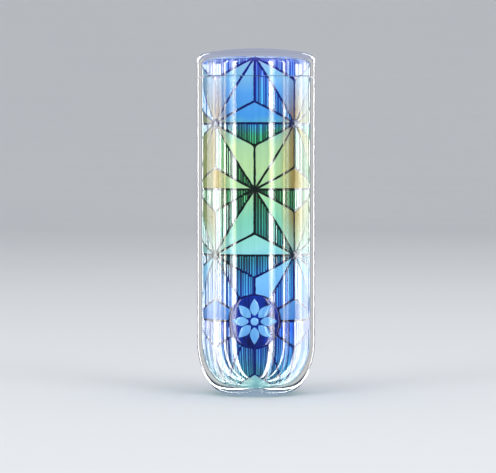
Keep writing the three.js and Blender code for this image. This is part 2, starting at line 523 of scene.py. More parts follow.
@dataclass(frozen=True)
class HeightTones:
    """Colours that change with the height on the case.

    Attributes:
        stops: Rows of a height in millimetres, from the foot up, and a colour on screen from 0 to 255.
        lift: How far the red, green and blue of every row are brightened.
    """

    stops: tuple[tuple[float, int, int, int], ...]
    lift: tuple[float, float, float] = (1.0, 1.0, 1.0)

    def scaled(self, top: float) -> list[tuple[float, Colour]]:
        """The stops, lifted, with their heights as shares of the case's own, given in metres."""
        return [(height * MM / top, paint(*self._lifted(colour))) for height, *colour in self.stops]

    def _lifted(self, colour: Sequence[int]) -> list[int]:
        """A row's colour after the lift, at most as bright as a screen shows."""
        return [min(FULL, round(part * lift)) for part, lift in zip(colour, self.lift)]


PLAIN_TONES = HeightTones((
    (0.0, 190, 246, 242),
    (4.5, 178, 240, 242),
    (9.0, 95, 165, 222),
    (18.0, 80, 145, 232),
    (27.0, 122, 190, 245),
    (32.0, 130, 205, 235),
    (36.0, 150, 220, 215),
    (41.0, 135, 215, 185),
    (47.0, 165, 218, 165),
    (54.0, 185, 220, 160),
    (59.5, 175, 215, 165),
    (63.5, 110, 190, 200),
    (66.0, 75, 160, 235),
    (71.0, 95, 170, 245),
    (76.0, 140, 200, 242),
    (81.0, 175, 190, 235),
))
SHADE_TONES = HeightTones((
    (0.0, 25, 95, 110),
    (5.0, 25, 95, 130),
    (10.0, 20, 75, 165),
    (17.0, 12, 30, 150),
    (24.0, 20, 60, 175),
    (29.0, 15, 60, 140),
    (33.0, 10, 50, 70),
    (39.0, 15, 75, 75),
    (46.0, 25, 70, 40),
    (56.0, 30, 75, 40),
    (62.0, 20, 80, 60),
    (65.0, 20, 70, 150),
    (72.0, 25, 80, 200),
    (80.0, 60, 65, 185),
), lift=(1.05, 1.14, 1.08))
STROKE_TONES = HeightTones((
    (0.0, 75, 165, 180),
    (5.0, 80, 165, 195),
    (10.0, 80, 155, 225),
    (17.0, 45, 100, 225),
    (24.0, 75, 160, 240),
    (29.0, 60, 145, 205),
    (33.0, 45, 125, 155),
    (39.0, 70, 165, 150),
    (46.0, 75, 145, 95),
    (56.0, 85, 155, 85),
    (62.0, 65, 160, 120),
    (65.0, 60, 145, 210),
    (72.0, 80, 155, 240),
    (80.0, 130, 135, 225),
), lift=(1.05, 1.17, 1.1))
LINE_TONES = HeightTones((
    (0.0, 15, 60, 100),
    (9.0, 10, 30, 120),
    (18.0, 8, 8, 75),
    (28.0, 8, 20, 110),
    (34.0, 5, 30, 35),
    (48.0, 8, 22, 12),
    (60.0, 8, 32, 20),
    (65.0, 10, 25, 95),
    (80.0, 30, 30, 145),
))


@dataclass(frozen=True)
class FumedGlass:
    """Patterned glass: its colour changes with height, streaks up and down, and has a painted tan and
    yellow-green reflection at its sides.

    Attributes:
        name: The material's name.
        tones: Its colours by height.
        sheen: The tint of what it mirrors.
        index: Its refractive index, which sets how strongly it mirrors.
        streaks: How strongly its streaks change it.
        painted_sheen: How far its sides turn to the painted reflection, tan and yellow green.
        spread: How far each patch's own tone changes its brightness.
    """

    name: str
    tones: HeightTones
    sheen: Colour = (1.0, 1.0, 1.0)
    index: float = 2.0
    streaks: float = 0.3
    painted_sheen: float = 0.0
    spread: float = 0.3

    def made(self, top: float, radius: float) -> bpy.types.Material:
        """Makes the material.

        Args:
            top: The height of the whole case.
            radius: The radius of the patterned tube.

        Returns:
            The material.
        """
        glass = Finish(self.name)
        drift = glass.between(glass.noise((90, 90, 60), detail=3), 0.3, 0.7, -0.022, 0.022)
        share = glass.math("ADD", glass.math("DIVIDE", glass.height(), top), drift)
        colour = glass.ramp(share, self.tones.scaled(top))
        # Painted reflection at the sides: tan, then a yellow-green sheen towards the edges.
        colour = self._painted_side_sheen(glass, colour, radius)
        fine = glass.noise((3200, 3200, 45), detail=3, rough=0.7)
        broad = glass.noise((620, 620, 18), detail=2)
        streak = glass.math("ADD", glass.math("MULTIPLY", fine, 0.6), glass.math("MULTIPLY", broad, 0.4))
        level = glass.between(streak, 0.32, 0.68, 1 - self.streaks, 1 + self.streaks)
        tone = glass.node("Attribute", attribute_name="tone").outputs["Fac"]
        level = glass.math("MULTIPLY", level, glass.between(tone, 0, 1, 1 - self.spread, 1 + self.spread))
        grey = glass.node("CombineColor", {0: level, 1: level, 2: level}).outputs[0]
        colour = glass.mixed(1.0, colour, grey, "MULTIPLY")
        inputs = {
            "Base Color": colour,
            "Roughness": glass.between(fine, 0.3, 0.7, 0.04, 0.09),
            "IOR": self.index,
            "Specular Tint": (*self.sheen, 1),
            "Normal": glass.bump(fine, 0.03, 0.02 * MM),
        }
        return glass.done(glass.node("BsdfPrincipled", inputs).outputs[0])

    def _painted_side_sheen(self, glass: Finish, colour: Socket, radius: float) -> Socket:
        """Paints a reflection into the colour at the case's two sides, half way up: tan where the wide light
        bars fall, and a yellow-green painted sheen towards the edges.

        Args:
            glass: The finish under construction.
            colour: The colour by height.
            radius: The radius of the patterned tube.

        Returns:
            The colour with its painted reflection.
        """
        place = glass.node("SeparateXYZ", {0: glass.place})
        side = glass.math("ABSOLUTE", glass.math("DIVIDE", place.outputs["X"], radius))
        near = glass.between(side, 0.42, 0.68, 0, self.painted_sheen)
        rise = glass.between(place.outputs["Z"], 30 * MM, 42 * MM, 0, 1)
        fall = glass.between(place.outputs["Z"], 66 * MM, 78 * MM, 1, 0)
        share = glass.math("MULTIPLY", glass.math("MULTIPLY", near, rise), fall)
        # Painted reflection: tan across the sides, a yellow-green painted sheen at the edges.
        painted_sheen = glass.mixed(glass.between(side, 0.7, 0.95, 0, 1), paint(152, 112, 46), paint(140, 158, 66))
        return glass.mixed(share, colour, painted_sheen)


@dataclass(frozen=True)
class ClearGlass:
    """Clear polished glass with a breath of tint and faint draw lines.

    It lets lamps through to what it covers, and the light that what it covers mirrors.

    Attributes:
        name: The material's name.
        index: Its refractive index.
        foot: The heights between which the tint of the foot fades out.
        foot_tint: That tint.
    """

    name: str = "clear_glass"
    index: float = 1.27
    foot: tuple[float, float] = (1.0 * MM, 4.5 * MM)
    foot_tint: Colour = (0.9, 0.985, 0.99)

    def made(self) -> bpy.types.Material:
        """Makes the material.

        Returns:
            The material.
        """
        glass = Finish(self.name)
        cloud = glass.noise((120, 120, 40), detail=2)
        clear = glass.mixed(cloud, (0.965, 0.985, 0.99), (0.99, 0.995, 1.0))
        near_foot = glass.between(glass.height(), *self.foot, 1.0, 0.0)
        tint = glass.mixed(near_foot, clear, self.foot_tint)
        drawn = glass.noise((500, 500, 6), detail=1)
        inputs = {
            "Color": tint,
            "Roughness": glass.between(cloud, 0.55, 0.85, 0.0, 0.015),
            "IOR": self.index,
            "Normal": glass.bump(drawn, 0.015, 0.02 * MM),
        }
        body = glass.node("BsdfGlass", inputs)
        through = glass.node("BsdfTransparent", {"Color": tint})
        path = glass.node("LightPath").outputs
        mirrored = glass.math("SUBTRACT", path["Is Glossy Ray"], path["Is Transmission Ray"], clamp=True)
        passing = glass.math("MAXIMUM", path["Is Shadow Ray"], path["Is Diffuse Ray"])
        passing = glass.math("MAXIMUM", passing, mirrored)
        both = glass.node("MixShader", {0: passing, 1: body.outputs[0], 2: through.outputs[0]})
        return glass.done(both.outputs[0])


@dataclass(frozen=True)
class DarkGlass:
    """Near-black glass with a faint blue cloud, for the bore.

    Attributes:
        name: The material's name.
        deep: Its darker colour.
        cloudy: The colour of its cloud.
        index: Its refractive index.
    """

    name: str = "dark_glass"
    deep: Colour = paint(8, 18, 26)
    cloudy: Colour = paint(18, 42, 56)
    index: float = 1.5

    def made(self) -> bpy.types.Material:
        """Makes the material.

        Returns:
            The material.
        """
        glass = Finish(self.name)
        cloud = glass.noise((160, 160, 50), detail=3)
        inputs = {
            "Base Color": glass.mixed(cloud, self.deep, self.cloudy),
            "Roughness": glass.between(cloud, 0.3, 0.7, 0.06, 0.16),
            "IOR": self.index,
        }
        return glass.done(glass.node("BsdfPrincipled", inputs).outputs[0])


@dataclass(frozen=True)
class GroundGlass:
    """Ground stopper glass: milky and half clear.

    Attributes:
        name: The material's name.
        milky: Its darker colour.
        bright: Its lighter colour.
        index: Its refractive index.
        clear: The share of light that goes through it.
    """

    name: str = "ground_glass"
    milky: Colour = paint(190, 212, 222)
    bright: Colour = paint(225, 238, 242)
    index: float = 1.46
    clear: float = 0.35

    def made(self) -> bpy.types.Material:
        """Makes the material.

        Returns:
            The material.
        """
        glass = Finish(self.name)
        grain = glass.noise((9000, 9000, 9000), detail=2)
        cloud = glass.noise((200, 200, 200), detail=3)
        inputs = {
            "Base Color": glass.mixed(cloud, self.milky, self.bright),
            "Roughness": glass.between(cloud, 0.3, 0.7, 0.3, 0.5),
            "IOR": self.index,
            "Transmission Weight": self.clear,
            "Normal": glass.bump(grain, 0.25, 0.02 * MM),
        }
        return glass.done(glass.node("BsdfPrincipled", inputs).outputs[0])


@dataclass(frozen=True)
class InlayGlass:
    """Blue glass of the medallion, streaked up and down.

    Attributes:
        name: The material's name.
        deep: Its darker colour.
        light: Its lighter colour.
        index: Its refractive index.
    """

    name: str
    deep: Colour
    light: Colour
    index: float = 1.6

    def made(self) -> bpy.types.Material:
        """Makes the material.

        Returns:
            The material.
        """
        glass = Finish(self.name)
        fine = glass.noise((2600, 2600, 90), detail=3, rough=0.7)
        cloud = glass.noise((420, 420, 160), detail=3)
        share = glass.between(glass.math("MULTIPLY", fine, cloud), 0.12, 0.42, 0, 1)
        inputs = {
            "Base Color": glass.mixed(share, self.deep, self.light),
            "Roughness": glass.between(fine, 0.3, 0.7, 0.08, 0.16),
            "IOR": self.index,
            "Normal": glass.bump(fine, 0.1, 0.03 * MM),
        }
        return glass.done(glass.node("BsdfPrincipled", inputs).outputs[0])


@dataclass(frozen=True)
class SealRubber:
    """Matt moulded rubber with a fine grain.

    Attributes:
        name: The material's name.
        dark: Its darker colour.
        bloom: The colour of its bloom.
    """

    name: str = "seal_rubber"
    dark: Colour = paint(34, 36, 40)
    bloom: Colour = paint(58, 60, 64)

    def made(self) -> bpy.types.Material:
        """Makes the material.

        Returns:
            The material.
        """
        rubber = Finish(self.name)
        grain = rubber.noise((7000, 7000, 7000), detail=3)
        inputs = {
            "Base Color": rubber.mixed(grain, self.dark, self.bloom),
            "Roughness": rubber.between(grain, 0.3, 0.7, 0.45, 0.7),
            "Normal": rubber.bump(grain, 0.3, 0.03 * MM),
        }
        return rubber.done(rubber.node("BsdfPrincipled", inputs).outputs[0])


@dataclass(frozen=True)
class Parchment:
    """Scraped skin: mottled cream with fine pores and darker fibres.

    Attributes:
        name: The material's name.
        tan: The darker cream of its cloud.
        cream: The lighter one.
        fibre: The colour of its fibres.
    """

    name: str = "parchment"
    tan: Colour = paint(222, 204, 164)
    cream: Colour = paint(242, 230, 200)
    fibre: Colour = paint(190, 162, 118)

    def made(self) -> bpy.types.Material:
        """Makes the material.

        Returns:
            The material.
        """
        skin = Finish(self.name)
        cloud = skin.noise((110, 110, 70), detail=5, rough=0.6)
        pores = skin.noise((5200, 5200, 4200), detail=3)
        fibre = skin.noise((900, 900, 260), detail=4, rough=0.65)
        colour = skin.mixed(skin.between(cloud, 0.3, 0.7, 0, 1), self.tan, self.cream)
        colour = skin.mixed(skin.between(fibre, 0.55, 0.8, 0, 0.45), colour, self.fibre)
        inputs = {
            "Base Color": colour,
            "Roughness": skin.between(pores, 0.3, 0.7, 0.6, 0.85),
            "Sheen Weight": 0.15,
            "Normal": skin.bump(pores, 0.35, 0.05 * MM),
        }
        return skin.done(skin.node("BsdfPrincipled", inputs).outputs[0])


@dataclass(frozen=True)
class CalfStrip:
    """Red-brown calf with a pebbled grain and worn, paler edges.

    Attributes:
        name: The material's name.
        deep: Its darker colour.
        brown: Its lighter colour.
        worn: The colour of its edges.
    """

    name: str = "calf_strip"
    deep: Colour = paint(92, 34, 24)
    brown: Colour = paint(132, 58, 38)
    worn: Colour = paint(176, 112, 78)

    def made(self) -> bpy.types.Material:
        """Makes the material.

        Returns:
            The material.
        """
        calf = Finish(self.name)
        mapped = calf.node("Mapping", {"Vector": calf.place, "Scale": (2600, 2600, 2600)})
        grain = calf.node("TexVoronoi", {"Vector": mapped.outputs[0], "Scale": 1.0}).outputs[0]
        cloud = calf.noise((260, 260, 260), detail=4)
        edge = calf.node("Attribute", attribute_name="tone").outputs["Fac"]
        colour = calf.mixed(calf.between(cloud, 0.3, 0.7, 0, 1), self.deep, self.brown)
        colour = calf.mixed(calf.between(edge, 0.8, 1, 0, 0.6), colour, self.worn)
        inputs = {
            "Base Color": colour,
            "Roughness": calf.between(grain, 0, 1, 0.4, 0.62),
            "Normal": calf.bump(grain, 0.4, 0.06 * MM),
        }
        return calf.done(calf.node("BsdfPrincipled", inputs).outputs[0])


@dataclass(frozen=True)
class StudioFloor:
    """Plain pale matt board.

    Attributes:
        name: The material's name.
        grey: Its darker colour.
        pale: Its lighter colour.
    """

    name: str = "studio_floor"
    grey: Colour = (0.6, 0.61, 0.63)
    pale: Colour = (0.64, 0.65, 0.66)

    def made(self) -> bpy.types.Material:
        """Makes the material.

        Returns:
            The material.
        """
        board = Finish(self.name)
        cloud = board.noise((3, 3, 3), detail=2)
        inputs = {
            "Base Color": board.mixed(cloud, self.grey, self.pale),
            "Roughness": board.between(cloud, 0, 1, 0.6, 0.75),
            "Specular IOR Level": 0.0,
        }
        return board.done(board.node("BsdfPrincipled", inputs).outputs[0])


# ---- The star lattice, laid out flat -----------------------------


class Place(Enum):
    """Which third of a lattice triangle a cell is: along its level side, or to its left or right."""

    LEVEL = "level"
    LEFT = "left"
    RIGHT = "right"


class Tone(Enum):
    """How a cell is filled."""

    PLAIN = "plain"
    HATCHED = "hatched"


@dataclass(frozen=True)
class Cell:
    """One flat cell of the lattice.

    Attributes:
        row: The row of stars that its triangle stands on, from the foot up.
        upward: True if its triangle points up.
        column: The angle of its triangle's point, in degrees round the axis.
        place: Which third of the triangle it is.
        corners: Its three (around, along) corners.
    """

    NEAR_FOOT = 1
    OVER_MEDALLION = 2
    BESIDE_STAR = 3
    FRONT_COLUMN = 0
    LEFT_COLUMN = 315

    row: int
    upward: bool
    column: int
    place: Place
    corners: Array

    @property
    def tone(self) -> Tone:
        """How the cell is filled.

        The right third of an upward triangle and the level third of a downward one are hatched, but for
        the two rows round the medallion and one cell to the left of the middle star.

        Returns:
            The fill.
        """
        if self.row == self.NEAR_FOOT:
            plain = self.upward and self.place is Place.LEVEL
            return Tone.PLAIN if plain else Tone.HATCHED
        hatched = self.place is (Place.RIGHT if self.upward else Place.LEVEL)
        if self.row == self.OVER_MEDALLION and self.place is Place.LEFT:
            hatched = self.upward or self.column == self.FRONT_COLUMN
        beside_star = self.row == self.BESIDE_STAR and self.column == self.LEFT_COLUMN
        if beside_star and self.place is Place.RIGHT:
            hatched = True
        return Tone.HATCHED if hatched else Tone.PLAIN


@dataclass(frozen=True)
class Circle:
    """A round hole in the pattern, which cells end at.

    Attributes:
        around: How far round the axis its middle lies.
        along: How far up the outline its middle lies.
        radius: Its radius.
    """

    around: float
    along: float
    radius: float

    def half_width(self, along: Array) -> Array:
        """Half its width at each distance up the outline, or 0 past it."""
        return np.sqrt(np.clip(self.radius**2 - (along - self.along) ** 2, 0, None))

    def half_height(self, around: Array) -> Array:
        """Half its height at each distance round the axis, or 0 past it."""
        return np.sqrt(np.clip(self.radius**2 - (around - self.around) ** 2, 0, None))


class Region:
    """A cell drawn in from its edges, as the flat area between straight lines and outside a hole."""

    SAMPLES = 3001
    FEWEST_SAMPLES = 8
    STRAY_SHARE = 0.2

    def __init__(self, corners: Array, inset: float, low: float, high: float, hole: Circle) -> None:
        """Works out the lines.

        A point p is inside where normal . p <= limit holds for each edge of the cell, its limit less
        the inset, and where low <= along <= high.

        Args:
            corners: The cell's (around, along) corners.
            inset: How far it is drawn in.
            low: The least distance up the outline.
            high: The most.
            hole: The hole that it stays out of.
        """
        after = np.roll(corners, -1, axis=0)
        edge = after - corners
        normal = np.stack([edge[:, 1], -edge[:, 0]], axis=1)
        normal /= np.linalg.norm(normal, axis=1, keepdims=True)
        middle = corners.mean(axis=0)
        flip = np.sign(((corners - middle) * normal).sum(axis=1, keepdims=True))
        self.normal = normal * flip
        self.limit = (corners * self.normal).sum(axis=1) - inset
        self.low = low
        self.high = high
        self.corners = corners
        self.hole = hole
        self.side = np.sign(middle - np.array([hole.around, hole.along]))

    def widths(self, along: Array) -> tuple[Array, Array]:
        """The region's left and right ends at each distance up the outline.

        Args:
            along: The distances.

        Returns:
            The two ends as distances round the axis. The left is past the right outside the region.
        """
        left, right = np.full_like(along, -1.0), np.full_like(along, 1.0)
        for (across, up), limit in zip(self.normal, self.limit):
            if abs(across) < SQUARE:
                outside = up * along > limit
                left = np.where(outside, 1.0, left)
            elif across > 0:
                right = np.minimum(right, (limit - up * along) / across)
            else:
                left = np.maximum(left, (limit - up * along) / across)
        half = self.hole.half_width(along)
        if self.side[0] > 0:
            left = np.where(half > 0, np.maximum(left, self.hole.around + half), left)
        else:
            right = np.where(half > 0, np.minimum(right, self.hole.around - half), right)
        return left, right

    def heights(self, around: Array) -> tuple[Array, Array]:
        """The region's lower and upper ends at each distance round the axis.

        Args:
            around: The distances.

        Returns:
            The two ends as distances up the outline. The lower is past the upper outside the region.
        """
        bottom, top = np.full_like(around, self.low), np.full_like(around, self.high)
        for (across, up), limit in zip(self.normal, self.limit):
            if up > SQUARE:
                top = np.minimum(top, (limit - across * around) / up)
            elif up < -SQUARE:
                bottom = np.maximum(bottom, (limit - across * around) / up)
            else:
                bottom = np.where(across * around > limit, 1.0, bottom)
        half = self.hole.half_height(around)
        if self.side[1] > 0:
            bottom = np.where(half > 0, np.maximum(bottom, self.hole.along + half), bottom)
        else:
            top = np.where(half > 0, np.minimum(top, self.hole.along - half), top)
        return bottom, top

    def span(self) -> tuple[float, float] | None:
        """Finds how far the region reaches up the outline.

        Returns:
            Its lowest and highest distance, or None if nothing is left of it.
        """
        low = max(self.low, self.corners[:, 1].min())
        high = min(self.high, self.corners[:, 1].max())
        if high <= low:
            return None
        along = np.linspace(low, high, self.SAMPLES)
        left, right = self.widths(along)
        inside = along[right - left > 0]
        if len(inside) < self.FEWEST_SAMPLES:
            return None
        return float(inside[0]), float(inside[-1])

    def grid(self, rows: int, columns: int, wander: Array | None = None) -> Array:
        """A grid over the region: rows at even distances up it, each split evenly from end to end.

        Args:
            rows: Rows of points.
            columns: Points in a row.
            wander: How far each row's two ends stray, as two columns, or None.

        Returns:
            The (around, along) points as (rows, columns, 2).
        """
        low, high = self.span()
        along = np.linspace(low, high, rows)
        left, right = self.widths(along)
        if wander is not None:
            room = self.STRAY_SHARE * np.clip(right - left, 0, None)
            left = left + np.clip(wander[:, 0], -room, room)
            right = right + np.clip(wander[:, 1], -room, room)
        right = np.maximum(left, right)
        share = np.linspace(0, 1, columns)
        around = left[:, None] + (right - left)[:, None] * share
        return np.stack([around, np.broadcast_to(along[:, None], around.shape)], axis=-1)


@dataclass(frozen=True)
class Lattice:
    """The star lattice: rows of stars round the tube, every other row shifted by half a step.

    Attributes:
        radius: The tube's radius, at which distances round it are counted.
        rows: How far up the outline each row of stars lies.
        repeats: Stars in a row.
        first_shifted: The lowest row with no star at the front.
    """

    radius: float
    rows: tuple[float, ...]
    repeats: int = 4
    first_shifted: int = 1

    def star_angles(self, row: int) -> list[int]:
        """The places of a row's stars.

        Args:
            row: The row, from the foot up.

        Returns:
            Their angles, in degrees round the axis.
        """
        step = 360 // self.repeats
        shift = step // 2 if (row - self.first_shifted) % 2 == 0 else 0
        return [shift + step * i for i in range(self.repeats)]

    def flat(self, angle: float, along: float) -> Array:
        """A place by its angle in degrees, as (around, along)."""
        return np.array([math.radians(angle) * self.radius, along])

    def cells(self) -> Iterator[Cell]:
        """Works out every cell of the lattice, from the foot up.

        Yields:
            The cells.
        """
        for row in range(len(self.rows) - 1):
            for upward in (True, False):
                for angle in self.star_angles(row if upward else row + 1):
                    yield from self._thirds(row, upward, angle)

    def _thirds(self, row: int, upward: bool, start: int) -> Iterator[Cell]:
        """Cuts a triangle into three at its middle.

        Args:
            row: The row of stars that it stands on.
            upward: True if it points up.
            start: The angle of its left end, in degrees.

        Yields:
            Its three cells.
        """
        half = 180 // self.repeats
        centre = start + half
        level_row, point_row = (row, row + 1) if upward else (row + 1, row)
        turn = centre - 360 if centre > 180 else centre
        left = self.flat(turn - half, self.rows[level_row])
        right = self.flat(turn + half, self.rows[level_row])
        point = self.flat(turn, self.rows[point_row])
        middle = (left + right + point) / 3
        column = centre % 360
        yield Cell(row, upward, column, Place.LEVEL, np.array([left, right, middle]))
        yield Cell(row, upward, column, Place.LEFT, np.array([left, point, middle]))
        yield Cell(row, upward, column, Place.RIGHT, np.array([right, point, middle]))


# ---- The patterned glass -----------------------------------------


@dataclass(frozen=True)
class PatternSizes:
    """How the pattern is cut and laid, in metres."""

    line: float = 0.52 * MM  # width of the dark lines between cells
    chamfer: float = 0.04 * MM  # width of a pane's sloping edge
    pane_depth: float = 0.04 * MM  # a plain pane's face below the wall's surface
    shade_depth: float = 0.12 * MM  # a hatched pane's face below it
    stroke_depth: float = 0.03 * MM  # a stroke's crest below it
    ground_depth: float = 0.2 * MM  # the backs of panes and strokes below it
    backing_depth: float = 0.17 * MM  # the backing's face below it
    stroke_pitch: float = 0.62 * MM
    stroke_jitter: float = 0.22  # share of the pitch that a stroke strays
    stroke_width: float = 0.27 * MM
    stroke_widths: tuple[float, ...] = (0.7, 1, 1.3, 2.0)  # shares of the usual width
    stroke_odds: tuple[float, ...] = (0.3, 0.4, 0.2, 0.1)  # how often each occurs
    stroke_crest: float = 0.55  # share of a stroke's width
    shortest: float = 0.25 * MM
    ragged: float = 0.2 * MM  # how far a stroke's ends may fall short
    wander: float = 0.06 * MM  # how far a pane's sides stray
    knot_radius: float = 0.95 * MM
    row_step: float = 0.5 * MM  # between rows of a pane's points
    column_step: float = 1.0 * MM  # between points of a row
    curve_step: float = 0.9 * MM  # between rows of a stroke's points, where the wall curves


@dataclass
class PatternedWall:
    """One patterned wall: its dark backing, plain panes, hatched panes with their strokes, and knots.

    A knot is a low mound: its rings of points lie at KNOT_RINGS of its radius and at KNOT_DEPTHS below
    the wall's surface.

    Attributes:
        name: What the names of its pieces start with.
        body: The body that it rides on.
        node: The solid that its backing stands for.
        outline: The outline of its outer surface.
        backing: The backing's own outline, closed.
        low: Where the pattern starts.
        high: Where it ends.
        straight: The stretch of along in which the wall is straight.
        lattice: The star lattice.
        hole: The round hole for the medallion.
        rng: The source of its hand-drawn unevenness.
        sizes: How the pattern is cut.
    """

    KNOT_SPOKES = 96
    KNOT_RINGS = (0.0, 0.5, 0.85, 1.0)
    KNOT_DEPTHS = (0.0, 0.01 * MM, 0.06 * MM, 0.2 * MM)
    KNOT_REACH = 1.5
    KNOT_ROOT = 0.1 * MM

    name: str
    body: str
    node: str
    outline: Outline
    backing: Array
    low: float
    high: float
    straight: tuple[float, float]
    lattice: Lattice
    hole: Circle
    rng: np.random.Generator
    sizes: PatternSizes = field(default_factory=PatternSizes)

    def _lay(self, flat: Array, depth: float | Array) -> Array:
        """Lays flat points on the wall at a depth."""
        return self.outline.place(flat[..., 0], flat[..., 1], depth, self.lattice.radius)

    def _region(self, cell: Cell, inset: float) -> Region:
        """The cell drawn in by an inset, on this wall."""
        return Region(cell.corners, inset, self.low, self.high, self.hole)

    def _pane(self, surface: Surface, cell: Cell, depth: float, wander: float) -> None:
        """Adds a cell's pane: a thin slab with sloping edges, whose sides stray a little.

        Args:
            surface: What it is added to.
            cell: The cell.
            depth: How far its face lies below the wall's surface.
            wander: How far its sides stray.
        """
        sizes = self.sizes
        base = self._region(cell, sizes.line / 2)
        face = self._region(cell, sizes.line / 2 + sizes.chamfer)
        if base.span() is None or face.span() is None:
            return
        low, high = base.span()
        rows = 3 + int((high - low) / sizes.row_step)
        left, right = base.widths(np.linspace(low, high, rows))
        columns = 3 + int(np.max(right - left) / sizes.column_step)
        stray = self.rng.uniform(-wander, wander, (rows, 2)) if wander else None
        above, below = face.grid(rows, columns, stray), base.grid(rows, columns, stray)
        along = np.concatenate([above[..., 1].ravel(), below[..., 1].ravel()])
        tone = self.rng.uniform(0, 1)
        surface.add_slab(self._lay(above, depth), self._lay(below, sizes.ground_depth), tone, along)

    def _strokes(self, surface: Surface, cell: Cell) -> None:
        """Adds a cell's upright strokes: thin ridges, each with its own tone, width and ends.

        Args:
            surface: What they are added to.
            cell: The cell.
        """
        sizes = self.sizes
        region = self._region(cell, sizes.line / 2 - sizes.chamfer)
        ends = cell.corners[:, 0]
        count = int((ends.max() - ends.min()) / sizes.stroke_pitch)
        around = np.linspace(ends.min(), ends.max(), count + 2)[1:-1]
        stray = self.rng.uniform(-sizes.stroke_jitter, sizes.stroke_jitter, count)
        around = around + stray * sizes.stroke_pitch
        width = sizes.stroke_width * self.rng.choice(sizes.stroke_widths, count, p=sizes.stroke_odds)
        bottom, top = region.heights(around)
        bottom = bottom + self.rng.uniform(-0.3, 1, count) * sizes.ragged
        top = top - self.rng.uniform(-0.3, 1, count) * sizes.ragged
        tone = self.rng.uniform(0, 1, count)
        kept = top - bottom > sizes.shortest
        for stroke in zip(around[kept], width[kept] / 2, bottom[kept], top[kept], tone[kept]):
            self._add_stroke(surface, *stroke)

    def _add_stroke(
        self, surface: Surface, middle: float, half: float, start: float, end: float, shade: float
    ) -> None:
        """Adds a ridge from rows of four points, closed below and at both ends.

        Args:
            surface: What it is added to.
            middle: How far round the axis it lies.
            half: Half its width.
            start: How far up the outline it starts.
            end: How far up it ends.
            shade: Its tone.
        """
        sizes = self.sizes
        curved = start < self.straight[0] or end > self.straight[1]
        rows = 3 + int((end - start) / sizes.curve_step) if curved else 2
        along = np.linspace(start, end, rows)[:, None]
        across = middle + half * np.array([-1, -sizes.stroke_crest, sizes.stroke_crest, 1])
        flat = np.stack(np.broadcast_arrays(across, along), axis=-1)
        depth = np.array([1, 0, 0, 1]) * (sizes.ground_depth - sizes.stroke_depth) + sizes.stroke_depth
        sides = grid_faces(rows, 4, wrap_columns=True)
        last = 4 * (rows - 1)
        ends = np.array([[0, 1, 2, 3], [last + 3, last + 2, last + 1, last]])
        surface.add(self._lay(flat, depth), np.concatenate([sides, ends]), shade, flat[..., 1])

    def _knots(self, surface: Surface) -> None:
        """Adds a dark knot over each star: a low mound whose rim follows the star's twelve rays.

        Its radius at angle a is the knot radius times 1 + 0.35 cos^4(6 a) + 0.08 sin(5 a + b), with b
        drawn anew for each.

        Args:
            surface: What they are added to.
        """
        spokes = np.arange(self.KNOT_SPOKES) * TURN / self.KNOT_SPOKES
        margin = self.sizes.knot_radius * self.KNOT_REACH
        for row, along in enumerate(self.lattice.rows[1:-1], start=1):
            for angle in self.lattice.star_angles(row):
                centre = self.lattice.flat(angle, along)
                covered = math.hypot(centre[0] - self.hole.around, along - self.hole.along)
                inside = self.low + margin < along < self.high - margin
                if covered < self.hole.radius or not inside:
                    continue
                uneven = 0.08 * np.sin(5 * spokes + self.rng.uniform(0, TURN))
                radius = self.sizes.knot_radius * (1 + 0.35 * np.cos(6 * spokes) ** 4 + uneven)
                self._add_knot(surface, centre, radius, spokes)

    def _add_knot(self, surface: Surface, centre: Array, radius: Array, spokes: Array) -> None:
        """Adds a knot: a mound of rings over a point below its middle.

        Args:
            surface: What it is added to.
            centre: Its middle, as (around, along).
            radius: Its radius at each spoke.
            spokes: The angles of its spokes.
        """
        reach = np.array(self.KNOT_RINGS)[:, None] * radius
        flat = centre + np.stack([reach * np.cos(spokes), reach * np.sin(spokes)], axis=-1)
        mound = self._lay(flat, np.array(self.KNOT_DEPTHS)[:, None]).reshape(-1, 3)
        root = self._lay(centre, self.sizes.ground_depth + self.KNOT_ROOT)
        faces = grid_faces(len(self.KNOT_RINGS), len(spokes), wrap_columns=True)
        rim = np.arange(len(spokes)) + len(mound) - len(spokes)
        tip = np.full_like(rim, len(mound))
        floor = np.stack([rim, np.roll(rim, -1), tip, tip], axis=1)
        surface.add(np.concatenate([mound, root[None]]), np.concatenate([faces, floor]))

    def _finishes(self, top: float) -> list[bpy.types.Material]:
        """Makes the wall's finishes.

        Args:
            top: The height of the whole case, over which its colours run.

        Returns:
            Those of the backing and knots, the plain panes, the hatched panes and the strokes.
        """
        glasses = (
            FumedGlass(self.name + "_ground", LINE_TONES, index=1.8, streaks=0.2),
            FumedGlass(
                self.name + "_plain",
                PLAIN_TONES,
                sheen=(1.0, 0.74, 0.34),
                index=1.52,
                streaks=0.1,
                # how strongly the painted tan and yellow-green side reflection shows
                painted_sheen=0.85,
                spread=0.1,
            ),
            FumedGlass(self.name + "_shade", SHADE_TONES, index=2.5, streaks=0.6, spread=0.25),
            FumedGlass(self.name + "_stroke", STROKE_TONES, index=2.5, streaks=0.35, spread=0.6),
        )
        return [glass.made(top, self.lattice.radius) for glass in glasses]

